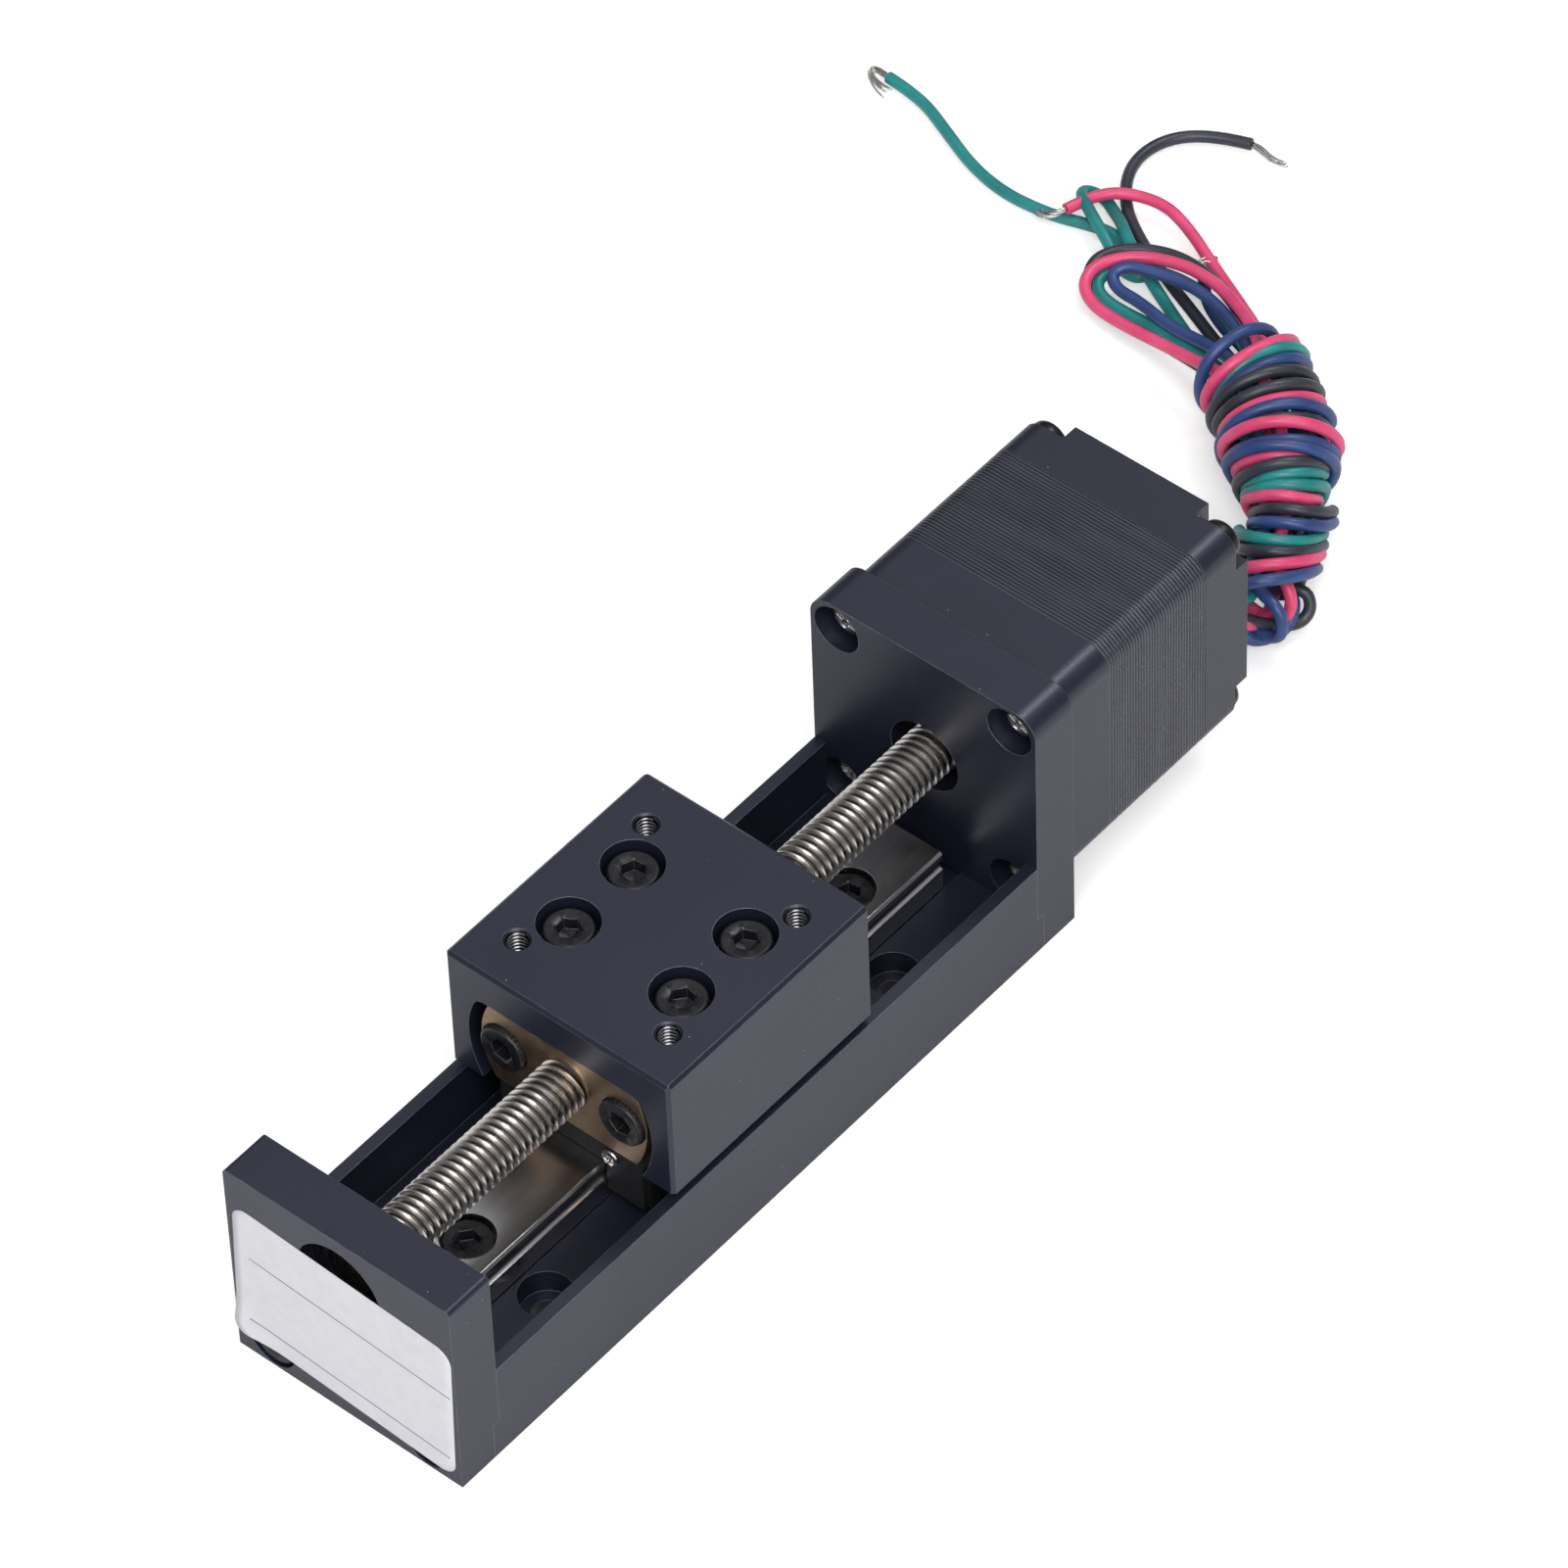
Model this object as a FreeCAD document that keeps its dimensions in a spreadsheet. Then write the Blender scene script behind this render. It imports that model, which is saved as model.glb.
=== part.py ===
import FreeCAD, Part
import math
import os
import re

import Sketcher
from FreeCAD import Placement, Rotation, Vector

# Driving dimensions in millimetres, angles in degrees
SIZES = {
    "module_width": 30.0,
    "running_gap": 0.05,
    "face_gap": 0.1,
    # front plate
    "front_plate_thickness": 6.0,
    "front_plate_cover": 1.8,
    "plate_edge_radius": 0.6,
    "bearing_shoulder_thickness": 0.6,
    "bearing_shoulder_radius": 4.3,
    # base channel
    "base_length": 85.4,
    "base_wall_thickness": 1.45,
    "base_floor_thickness": 5.0,
    "base_tongue_length": 1.0,
    "rail_groove_depth": 1.0,
    "base_hole_pitch_long": 55.0,
    "base_hole_pitch_cross": 16.0,
    "base_hole_radius": 1.7,
    "base_hole_recess_radius": 3.0,
    "base_hole_recess_depth": 3.0,
    # end screws that hold the plates to the base floor
    "end_screw_inset": 4.7,
    "end_screw_height": 3.2,
    "plate_screw_gap": 5.2,
    "end_screw_length": 8.0,
    "end_screw_recess_depth": 3.2,
    # sticker
    "label_margin": 0.7,
    "label_height": 20.0,
    "label_thickness": 0.12,
    "label_corner_radius": 2.0,
    "label_foot": 1.8,
    "label_tilt": 3.9,
    # motor plate
    "motor_plate_thickness": 6.0,
    "motor_plate_lip": 0.7,
    "motor_plate_corner_radius": 2.6,
    "screw_passage_radius": 4.5,
    "motor_screw_recess_radius": 2.95,
    "motor_screw_recess_depth": 3.3,
    "motor_screw_length": 5.1,
    # three millimetre socket screws
    "screw_radius": 1.5,
    "screw_head_radius": 2.75,
    "screw_head_height": 3.0,
    "screw_key_size": 2.5,
    "screw_key_depth": 1.6,
    "screw_recess_gap": 0.25,
    # small cross-head screws of the motor
    "small_screw_radius": 1.25,
    "small_head_radius": 2.3,
    "small_head_height": 1.7,
    "small_cross_length": 2.6,
    "small_cross_width": 0.55,
    "small_cross_depth": 0.9,
    # guide rail
    "rail_width": 9.0,
    "rail_height": 6.5,
    "rail_end_gap": 2.7,
    "rail_edge_chamfer": 0.3,
    "rail_hole_pitch": 20.0,
    "rail_hole_gap": 0.25,
    "rail_recess_depth": 3.5,
    "rail_screw_length": 6.0,
    # guide block
    "block_width": 20.0,
    "block_length": 18.9,
    "block_stack_height": 10.0,
    "block_underside": 2.0,
    "block_rail_gap": 0.35,
    "block_roof_gap": 0.5,
    "block_edge_chamfer": 0.5,
    "block_hole_inset": 2.5,
    "block_hole_pitch_long": 10.0,
    "block_thread_depth": 3.5,
    "raceway_drop": 1.8,
    "raceway_offset": 0.2,
    "guide_ball_radius": 0.75,
    "return_hole_offset": 2.7,
    "guide_balls_in_row": 9,
    "end_cap_length": 4.2,
    "end_cap_inset": 0.3,
    "turnaround_depth": 1.7,
    "end_seal_length": 0.8,
    "end_seal_inset": 0.5,
    "cap_screw_spread": 5.4,
    "cap_screw_rise": 1.0,
    "cap_screw_radius": 0.7,
    "cap_screw_length": 7.0,
    "cap_head_radius": 1.1,
    "cap_head_height": 0.6,
    "cap_cross_length": 1.4,
    "cap_cross_width": 0.35,
    "cap_cross_depth": 0.35,
    # carriage
    "carriage_station": 27.6,
    "carriage_length": 31.4,
    "carriage_side_gap": 0.15,
    "carriage_wall_gap": 1.2,
    "carriage_roof": 4.6,
    "carriage_chamfer": 0.4,
    "carriage_hole_pitch": 20.0,
    "carriage_thread_radius": 1.25,
    "carriage_thread_depth": 7.0,
    "thread_mouth_chamfer": 0.3,
    "carriage_recess_radius": 3.4,
    "carriage_recess_depth": 3.8,
    "nut_pocket_gap": 1.2,
    "nut_pocket_corner": 1.6,
    # flange nut
    "nut_flange_radius": 11.0,
    "nut_flange_thickness": 3.5,
    "nut_flange_flats": 11.4,
    "nut_body_radius": 5.0,
    "nut_length": 15.0,
    "nut_setback": 0.6,
    "nut_screw_inset": 3.1,
    "nut_block_gap": 0.3,
    "nut_screw_length": 6.0,
    "nut_recess_depth": 1.3,
    "nut_head_height": 2.0,
    "nut_head_radius": 2.85,
    # lead screw, which is also the shaft of the motor
    "lead_screw_radius": 3.0,
    "journal_radius": 2.5,
    "journal_overhang": 0.2,
    # ball bearings
    "bearing_outer_radius": 5.5,
    "bearing_width": 3.0,
    "bearing_ball_radius": 0.8,
    "bearing_ball_count": 7,
    "bearing_seal_thickness": 0.25,
    # motor
    "motor_side_gap": 0.9,
    "motor_screw_inset": 2.6,
    "motor_corner_radius": 2.6,
    "front_cap_length": 7.0,
    "stator_length": 16.1,
    "rear_cap_length": 5.0,
    "rear_boss_height": 2.0,
    "rear_notch_gap": 0.3,
    "pilot_radius": 11.0,
    "pilot_height": 2.0,
    "pilot_lip": 1.2,
    "shaft_hole_gap": 0.3,
    "winding_room_radius": 11.2,
    "rear_seat_setback": 1.6,
    "wave_washer_thickness": 0.4,
    "tie_screw_stop": 3.4,
    "stator_bore_radius": 7.6,
    "slot_mouth_width": 1.0,
    "pole_tip_thickness": 1.0,
    "slot_shoulder": 0.2,
    "slot_top_radius": 11.4,
    "slot_root_width": 4.0,
    "slot_top_width": 6.4,
    "pole_count": 8,
    "winding_gap": 0.6,
    "winding_width": 5.0,
    "winding_hole_width": 3.3,
    "winding_end_length": 1.2,
    "air_gap": 0.1,
    "rotor_core_length": 6.0,
    "rotor_magnet_length": 2.0,
    "grommet_drop": 8.6,
    "grommet_radius": 2.2,
    # flying leads
    "lead_diameter": 1.4,
    "lead_spread": 0.9,
    "strand_diameter": 0.9,
}

# Stations along the module and heights above its underside, as formulas of the sizes
PLACES = {
    "motor_length": "front_cap_length + stator_length + rear_cap_length + rear_boss_height",
    "plates_length": "front_plate_thickness + base_length + motor_plate_thickness",
    "front_face": "(label_thickness - plates_length - motor_length) / 2",
    "base_front": "front_face + front_plate_thickness",
    "base_rear": "base_front + base_length",
    "base_middle": "base_front + base_length / 2",
    "motor_face": "base_rear + motor_plate_thickness",
    "stator_front": "motor_face + front_cap_length",
    "stator_rear": "stator_front + stator_length",
    "motor_end": "stator_rear + rear_cap_length + rear_boss_height",
    "front_bearing_place": "front_face + front_bearing_recess",
    "motor_bearing_place": "motor_face - pilot_height + pilot_lip",
    "rear_bearing_place": "stator_rear + rear_seat_setback",
    "carriage_front": "base_front + carriage_station",
    "carriage_middle": "carriage_front + carriage_length / 2",
    "nut_place": "carriage_front + nut_setback",
    "rail_base": "base_floor_thickness - rail_groove_depth",
    "rail_length": "base_length - 2 * rail_end_gap",
    "rail_top": "rail_base + rail_height",
    "raceway_level": "rail_top - raceway_drop",
    "block_bottom": "rail_base + block_underside",
    "block_top": "rail_base + block_stack_height",
    "block_hole_pitch_cross": "block_width - 2 * block_hole_inset",
    "cap_screw_level": "rail_top + block_roof_gap + cap_screw_rise",
    "axis_height": "max(block_top + nut_block_gap + nut_flange_flats / 2;"
        " end_screw_height + plate_screw_gap + motor_screw_pitch / 2)",
    "base_wall_height": "block_top - carriage_wall_gap",
    "carriage_width": "module_width - 2 * carriage_side_gap",
    "carriage_top": "nut_pocket_top + carriage_roof",
    "carriage_height": "carriage_top - block_top",
    "carriage_screw_length":
        "carriage_height - carriage_recess_depth + block_thread_depth - face_gap",
    "front_plate_height": "axis_height + bearing_outer_radius + front_plate_cover",
    "motor_plate_height": "axis_height + motor_square / 2 + motor_plate_lip",
    "front_bearing_recess":
        "front_plate_thickness - bearing_width - bearing_shoulder_thickness",
    "end_screw_pitch": "module_width - 2 * end_screw_inset",
    "label_width": "module_width - 2 * label_margin",
    "label_middle_height": "label_foot + label_height / 2",
    "motor_square": "module_width - 2 * motor_side_gap",
    "motor_screw_pitch": "motor_square - 2 * motor_screw_inset",
    "rear_notch_size": "motor_screw_inset + small_head_radius + rear_notch_gap",
    "bearing_seat_radius": "bearing_outer_radius + running_gap",
    "bearing_pitch_radius": "(journal_radius + bearing_outer_radius) / 2",
    "bearing_ring_thickness": "(bearing_outer_radius - journal_radius) / 3",
    "shaft_hole_radius": "lead_screw_radius + shaft_hole_gap",
    "screw_recess_radius": "screw_head_radius + screw_recess_gap",
    "rail_hole_radius": "screw_radius + rail_hole_gap",
    "screw_hole_radius": "screw_radius + running_gap",
    "small_hole_radius": "small_screw_radius + running_gap",
    "groove_radius": "guide_ball_radius + running_gap",
    "raceway_spread": "rail_width / 2 + raceway_offset",
    "return_spread": "raceway_spread + return_hole_offset",
    "nut_screw_spread": "2 * (nut_flange_radius - nut_screw_inset)",
    "nut_pocket_radius": "nut_flange_radius + nut_pocket_gap",
    "nut_pocket_depth": "nut_setback + nut_flange_thickness",
    "nut_pocket_top": "axis_height + nut_flange_flats / 2 + face_gap",
    "slot_root_radius": "stator_bore_radius + pole_tip_thickness",
    "winding_inner_radius": "slot_root_radius + winding_gap",
    "winding_outer_radius": "slot_top_radius - winding_gap",
}

doc = FreeCAD.newDocument("linear_module")
sheet = doc.addObject("Spreadsheet::Sheet", "Sizes")


def fill_sheet():
    """Write each driving dimension as a plain number with its name as the alias."""
    for row, (name, size) in enumerate(SIZES.items(), 1):
        sheet.set("A%d" % row, name)
        sheet.set("B%d" % row, str(size))
        sheet.setAlias("B%d" % row, name)
    doc.recompute()


def formula(text):
    """Spell the size and place names of a formula as an expression of the document."""
    def spell(match):
        word = match.group(0)
        if word in PLACES:
            return "(" + formula(PLACES[word]) + ")"
        if word in SIZES:
            return "Sizes." + word
        return word
    return re.sub("[a-z_]+", spell, text)


def value(text):
    """Number that a formula gives now."""
    found = sheet.evalExpression(formula(text))
    return float(getattr(found, "Value", found))


def bind(thing, prop, text):
    thing.setExpression(prop, formula(text))


def new_body(name, x="0", y="0", z="0", turn="0"):
    """Body whose own origin is placed at the given stations of the module, and turned
    about the module's length."""
    made = doc.addObject("PartDesign::Body", name)
    made.Label = name
    made.AllowCompound = True
    if turn != "0":
        made.Placement = Placement(Vector(), Rotation(Vector(1, 0, 0), 1))
        bind(made, "Placement.Rotation.Angle", turn)
    bind(made, "Placement.Base.x", x)
    bind(made, "Placement.Base.y", y)
    bind(made, "Placement.Base.z", z)
    return made


def origin_feature(body, role):
    return next(item for item in body.Origin.OriginFeatures if item.Role == role)


def new_sketch(body, plane, offset="0"):
    """Sketch on one of the body's own origin planes, lifted along the plane's normal."""
    made = body.newObject("Sketcher::SketchObject", body.Label + "_sketch")
    made.AttachmentSupport = [(origin_feature(body, plane), "")]
    made.MapMode = "FlatFace"
    bind(made, "AttachmentOffset.Base.z", offset)
    return made


def pin_point(sketch, geometry, point, place):
    """Hold a sketch point at two formulas, measured from the sketch's origin."""
    for kind, text in zip(("DistanceX", "DistanceY"), place):
        number = sketch.addConstraint(
            Sketcher.Constraint(kind, -1, 1, geometry, point, value(text)))
        sketch.setExpression("Constraints[%d]" % number, formula(text))


def draw_circle(sketch, across, up, radius):
    centre = Vector(value(across), value(up), 0)
    drawn = sketch.addGeometry(Part.Circle(centre, Vector(0, 0, 1), value(radius)), False)
    pin_point(sketch, drawn, 3, (across, up))
    number = sketch.addConstraint(Sketcher.Constraint("Radius", drawn, value(radius)))
    sketch.setExpression("Constraints[%d]" % number, formula(radius))


def draw_outline(sketch, corners):
    """Closed outline: a corner is (across, up), or (across, up, radius, turn) where the
    stretch to the next corner is an arc that turns left (1) or right (-1). The ends of a
    half circle settle its radius, so only a flatter arc is held to it."""
    spots = [Vector(value(corner[0]), value(corner[1]), 0) for corner in corners]
    ends = []
    for number, corner in enumerate(corners):
        start = spots[number]
        stop = spots[(number + 1) % len(spots)]
        if len(corner) == 2:
            drawn = sketch.addGeometry(Part.LineSegment(start, stop), False)
            ends.append((drawn, 1, 2))
            continue
        radius = value(corner[2])
        turn = corner[3]
        chord = stop - start
        rise = math.sqrt(max(radius ** 2 - (chord.Length / 2) ** 2, 0.0))
        side = Vector(-chord.y, chord.x, 0).normalize() * turn
        centre = (start + stop) * 0.5 + side * rise
        first, last = (start, stop) if turn > 0 else (stop, start)
        angles = [math.atan2(p.y - centre.y, p.x - centre.x) for p in (first, last)]
        if angles[1] < angles[0]:
            angles[1] += 2 * math.pi
        circle = Part.Circle(centre, Vector(0, 0, 1), radius)
        drawn = sketch.addGeometry(Part.ArcOfCircle(circle, angles[0], angles[1]), False)
        if rise > 0.001:
            held = sketch.addConstraint(Sketcher.Constraint("Radius", drawn, radius))
            sketch.setExpression("Constraints[%d]" % held, formula(corner[2]))
        ends.append((drawn, 1, 2) if turn > 0 else (drawn, 2, 1))
    for number, (drawn, begin, _) in enumerate(ends):
        before, _, finish = ends[number - 1]
        sketch.addConstraint(Sketcher.Constraint("Coincident", before, finish, drawn, begin))
    for (drawn, begin, _), corner in zip(ends, corners):
        pin_point(sketch, drawn, begin, corner[:2])


def draw_box(sketch, left, low, right, high):
    draw_outline(sketch, [(left, low), (right, low), (right, high), (left, high)])


def draw_hexagon(sketch, across, up, flats):
    """Hexagon with two corners level with its middle."""
    corner = "(%s) / sqrt(3)" % flats
    half = "(%s) / 2" % flats
    shape = [(1.0, 0), (0.5, 1), (-0.5, 1), (-1.0, 0), (-0.5, -1), (0.5, -1)]
    draw_outline(sketch, [("%s + %s * %s" % (across, side, corner),
                           "%s + %s * %s" % (up, rise, half)) for side, rise in shape])


def draw_cross(sketch, across, up, length, width):
    """Upright cross of two bars with the same length and width."""
    long_half = "(%s) / 2" % length
    short_half = "(%s) / 2" % width
    shape = [(long_half, 1, short_half, -1), (long_half, 1, short_half, 1),
             (short_half, 1, short_half, 1), (short_half, 1, long_half, 1),
             (short_half, -1, long_half, 1), (short_half, -1, short_half, 1),
             (long_half, -1, short_half, 1), (long_half, -1, short_half, -1),
             (short_half, -1, short_half, -1), (short_half, -1, long_half, -1),
             (short_half, 1, long_half, -1), (short_half, 1, short_half, -1)]
    draw_outline(sketch, [("%s + %d * %s" % (across, side, reach),
                           "%s + %d * %s" % (up, rise, height))
                          for reach, side, height, rise in shape])


def volume(body):
    doc.recompute()
    return body.Shape.Volume if not body.Shape.isNull() else 0.0


def pad(body, sketch, length, backwards=False):
    before = volume(body)
    made = body.newObject("PartDesign::Pad", body.Label + "_pad")
    made.Profile = sketch
    made.Reversed = backwards
    bind(made, "Length", length)
    if volume(body) <= before:
        raise RuntimeError(body.Label + ": a pad adds nothing")
    return made


def pocket(body, sketch, depth, forwards=False):
    """Cut against the sketch's normal, or along it when forwards."""
    before = volume(body)
    made = body.newObject("PartDesign::Pocket", body.Label + "_pocket")
    made.Profile = sketch
    made.Reversed = forwards
    bind(made, "Length", depth)
    if volume(body) >= before:
        raise RuntimeError(body.Label + ": a pocket cuts nothing")
    return made


def revolve(body, sketch):
    """Turn a profile once round the body's own X axis."""
    made = body.newObject("PartDesign::Revolution", body.Label + "_turned")
    made.Profile = sketch
    made.ReferenceAxis = (origin_feature(body, "X_Axis"), [""])
    made.Angle = 360
    doc.recompute()
    return made


def ring_copies(body, features, count):
    """Repeat features evenly round the body's own X axis."""
    made = body.newObject("PartDesign::PolarPattern", body.Label + "_ring")
    made.Originals = features
    made.Axis = (origin_feature(body, "X_Axis"), [""])
    made.Angle = 360
    bind(made, "Occurrences", count)
    body.Tip = made
    doc.recompute()


def runs_along(edge, axis):
    """True for a straight edge that is parallel to the axis named X, Y or Z."""
    lengths = {name: getattr(edge.BoundBox, name + "Length") for name in "XYZ"}
    return lengths.pop(axis) > 0.01 and max(lengths.values()) < 0.001


def is_mouth(edge, radius, level):
    """True for the round edge of a hole of the given radius at a level."""
    return (abs(getattr(edge.Curve, "Radius", 0) - value(radius)) < 0.001
            and abs(edge.CenterOfMass.z - value(level)) < 0.001)


def soften(body, kind, size, wanted):
    """Fillet or chamfer the edges of the body's last feature that the test picks."""
    doc.recompute()
    base = body.Tip
    names = ["Edge%d" % number for number, edge in enumerate(base.Shape.Edges, 1)
             if wanted(edge)]
    if not names:
        raise RuntimeError(body.Label + ": no edge to soften")
    made = body.newObject("PartDesign::" + kind, body.Label + "_" + kind.lower())
    made.Base = (base, names)
    bind(made, "Radius" if kind == "Fillet" else "Size", size)
    doc.recompute()
    return made


def four_corners(across, up, middle_across="0", middle_up="0"):
    """Four places at half the two pitches either side of a middle."""
    return [("%s + %d * (%s) / 2" % (middle_across, side, across),
             "%s + %d * (%s) / 2" % (middle_up, rise, up))
            for side in (-1, 1) for rise in (-1, 1)]


def side_pair(spread, up):
    """Two places either side of the module's middle plane."""
    return [("%d * (%s) / 2" % (side, spread), up) for side in (-1, 1)]


def drill(body, plane, offset, places, radius, depth, forwards=False):
    """Round holes at several places, from a plane into the body."""
    sketch = new_sketch(body, plane, offset)
    for across, up in places:
        draw_circle(sketch, across, up, radius)
    pocket(body, sketch, depth, forwards)


def add_screws(body, plane, places, faces_back, sizes, recess):
    """Screws with their heads' undersides on the body's plane. The head stands along the
    plane's normal, or against it when faces_back; recess draws the driver's recess."""
    shank_radius, length, head_radius, head_height, recess_depth = sizes
    shank = new_sketch(body, plane)
    head = new_sketch(body, plane)
    top = new_sketch(body, plane, ("-(%s)" if faces_back else "%s") % head_height)
    for across, up in places:
        draw_circle(shank, across, up, shank_radius)
        draw_circle(head, across, up, head_radius)
        recess(top, across, up)
    pad(body, head, head_height, faces_back)
    pad(body, shank, length, not faces_back)
    pocket(body, top, recess_depth, faces_back)


def socket_recess(sketch, across, up):
    draw_hexagon(sketch, across, up, "screw_key_size")


def cross_recess(sketch, across, up):
    draw_cross(sketch, across, up, "small_cross_length", "small_cross_width")


def fine_cross_recess(sketch, across, up):
    draw_cross(sketch, across, up, "cap_cross_length", "cap_cross_width")


def socket_sizes(length, head_radius="screw_head_radius", head_height="screw_head_height"):
    return "screw_radius", length, head_radius, head_height, "screw_key_depth"


END_SCREWS = side_pair("end_screw_pitch", "end_screw_height")
MOTOR_SCREWS = four_corners("motor_screw_pitch", "motor_screw_pitch", "0", "axis_height")
NUT_SCREWS = side_pair("nut_screw_spread", "axis_height")


# Frame of the module

def make_base_channel():
    """Floor with a groove for the rail and a tongue at each end, between two thin walls."""
    body = new_body("base_channel", "base_front")
    half = "module_width / 2"
    groove = "(rail_width / 2 + face_gap)"
    floor = new_sketch(body, "YZ_Plane", "-base_tongue_length")
    draw_outline(floor, [("-" + half, "0"), (half, "0"), (half, "base_floor_thickness"),
                         (groove, "base_floor_thickness"), (groove, "rail_base"),
                         ("-" + groove, "rail_base"), ("-" + groove, "base_floor_thickness"),
                         ("-" + half, "base_floor_thickness")])
    pad(body, floor, "base_length + 2 * base_tongue_length")
    walls = new_sketch(body, "YZ_Plane")
    inner = "(module_width / 2 - base_wall_thickness)"
    draw_box(walls, inner, "0", half, "base_wall_height")
    draw_box(walls, "-" + half, "0", "-" + inner, "base_wall_height")
    pad(body, walls, "base_length")
    mounting = four_corners("base_hole_pitch_long", "base_hole_pitch_cross", "base_length / 2")
    drill(body, "XY_Plane", "base_floor_thickness", mounting,
          "base_hole_radius", "base_floor_thickness")
    drill(body, "XY_Plane", "base_floor_thickness", mounting,
          "base_hole_recess_radius", "base_hole_recess_depth")
    threads = [("base_length / 2 + %s * rail_hole_pitch" % step, "0")
               for step in (-1.5, -0.5, 0.5, 1.5)]
    drill(body, "XY_Plane", "rail_base", threads, "screw_hole_radius", "rail_base")
    depth = "end_screw_length + end_screw_recess_depth - front_plate_thickness"
    depth += " + base_tongue_length + 2 * running_gap"
    drill(body, "YZ_Plane", "-base_tongue_length", END_SCREWS,
          "screw_hole_radius", depth, True)
    depth = depth.replace("front_plate", "motor_plate")
    drill(body, "YZ_Plane", "base_length + base_tongue_length", END_SCREWS,
          "screw_hole_radius", depth)
    return body


def make_plate(name, place, height, thickness, rabbet_offset):
    """Upright end plate with a step at its foot, over the tongue of the base."""
    body = new_body(name, place)
    face = new_sketch(body, "YZ_Plane")
    draw_box(face, "-module_width / 2", "0", "module_width / 2", height)
    pad(body, face, thickness)
    step = new_sketch(body, "YZ_Plane", rabbet_offset)
    draw_box(step, "-module_width / 2", "0", "module_width / 2", "base_floor_thickness")
    pocket(body, step, "base_tongue_length")
    return body


def make_front_plate():
    body = make_plate("front_plate", "front_face", "front_plate_height",
                      "front_plate_thickness", "front_plate_thickness")
    axis = [("0", "axis_height")]
    drill(body, "YZ_Plane", "0", axis, "bearing_seat_radius",
          "front_bearing_recess + bearing_width", True)
    drill(body, "YZ_Plane", "front_plate_thickness", axis, "bearing_shoulder_radius",
          "front_plate_thickness")
    drill(body, "YZ_Plane", "0", END_SCREWS, "screw_hole_radius",
          "front_plate_thickness", True)
    drill(body, "YZ_Plane", "0", END_SCREWS, "screw_recess_radius",
          "end_screw_recess_depth", True)
    soften(body, "Fillet", "plate_edge_radius", lambda edge: runs_along(edge, "X")
           and abs(abs(edge.CenterOfMass.y) - value("module_width / 2")) < 0.01
           and edge.CenterOfMass.z > value("front_plate_height") - 0.01)
    return body


def make_motor_plate():
    body = make_plate("motor_plate", "base_rear", "motor_plate_height",
                      "motor_plate_thickness", "base_tongue_length")
    axis = [("0", "axis_height")]
    drill(body, "YZ_Plane", "motor_plate_thickness", axis, "screw_passage_radius",
          "motor_plate_thickness")
    drill(body, "YZ_Plane", "motor_plate_thickness", axis, "pilot_radius + running_gap",
          "pilot_height")
    drill(body, "YZ_Plane", "0", MOTOR_SCREWS, "small_hole_radius",
          "motor_plate_thickness", True)
    drill(body, "YZ_Plane", "0", MOTOR_SCREWS, "motor_screw_recess_radius",
          "motor_screw_recess_depth", True)
    drill(body, "YZ_Plane", "motor_plate_thickness", END_SCREWS, "screw_hole_radius",
          "motor_plate_thickness")
    drill(body, "YZ_Plane", "motor_plate_thickness", END_SCREWS, "screw_recess_radius",
          "end_screw_recess_depth")
    soften(body, "Fillet", "motor_plate_corner_radius", lambda edge: runs_along(edge, "X")
           and edge.CenterOfMass.z > value("motor_plate_height") - 0.01)
    return body


def make_end_screws():
    front = new_body("front_plate_screws", "front_face + end_screw_recess_depth")
    add_screws(front, "YZ_Plane", END_SCREWS, True, socket_sizes("end_screw_length"),
               socket_recess)
    rear = new_body("motor_plate_screws", "motor_face - end_screw_recess_depth")
    add_screws(rear, "YZ_Plane", END_SCREWS, False, socket_sizes("end_screw_length"),
               socket_recess)
    return [front, rear]


def make_label():
    """Plain sticker on the front plate, a little askew."""
    body = new_body("label", "front_face", "0", "label_middle_height", "label_tilt")
    face = new_sketch(body, "YZ_Plane")
    draw_box(face, "-label_width / 2", "-label_height / 2", "label_width / 2",
             "label_height / 2")
    pad(body, face, "label_thickness", True)
    soften(body, "Fillet", "label_corner_radius", lambda edge: runs_along(edge, "X"))
    return body


# Linear guide: rail, block with recirculating balls, end caps and seals

def make_guide_rail():
    """Rail with flat sides, an arc groove of the ball's size in each, and small chamfers
    at the top."""
    body = new_body("guide_rail", "base_middle - rail_length / 2")
    profile = new_sketch(body, "YZ_Plane")
    half = "(rail_width / 2)"
    shoulder = "rail_top - rail_edge_chamfer"
    inner = "(rail_width / 2 - rail_edge_chamfer)"
    lean = "sqrt(groove_radius ^ 2 - raceway_offset ^ 2)"
    low = "raceway_level - " + lean
    high = "raceway_level + " + lean
    draw_outline(profile, [
        ("-" + half, "rail_base"), (half, "rail_base"), (half, low, "groove_radius", -1),
        (half, high), (half, shoulder), (inner, "rail_top"), ("-" + inner, "rail_top"),
        ("-" + half, shoulder), ("-" + half, high, "groove_radius", -1), ("-" + half, low)])
    pad(body, profile, "rail_length")
    places = [("rail_length / 2 + %s * rail_hole_pitch" % step, "0")
              for step in (-1.5, -0.5, 0.5, 1.5)]
    drill(body, "XY_Plane", "rail_top", places, "rail_hole_radius", "rail_height")
    drill(body, "XY_Plane", "rail_top", places, "screw_recess_radius", "rail_recess_depth")
    return body


def make_rail_screws():
    body = new_body("rail_screws", "base_middle", "0", "rail_top - rail_recess_depth")
    places = [("%s * rail_hole_pitch" % step, "0") for step in (-1.5, -0.5, 0.5, 1.5)]
    add_screws(body, "XY_Plane", places, False, socket_sizes("rail_screw_length"),
               socket_recess)
    return body


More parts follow.
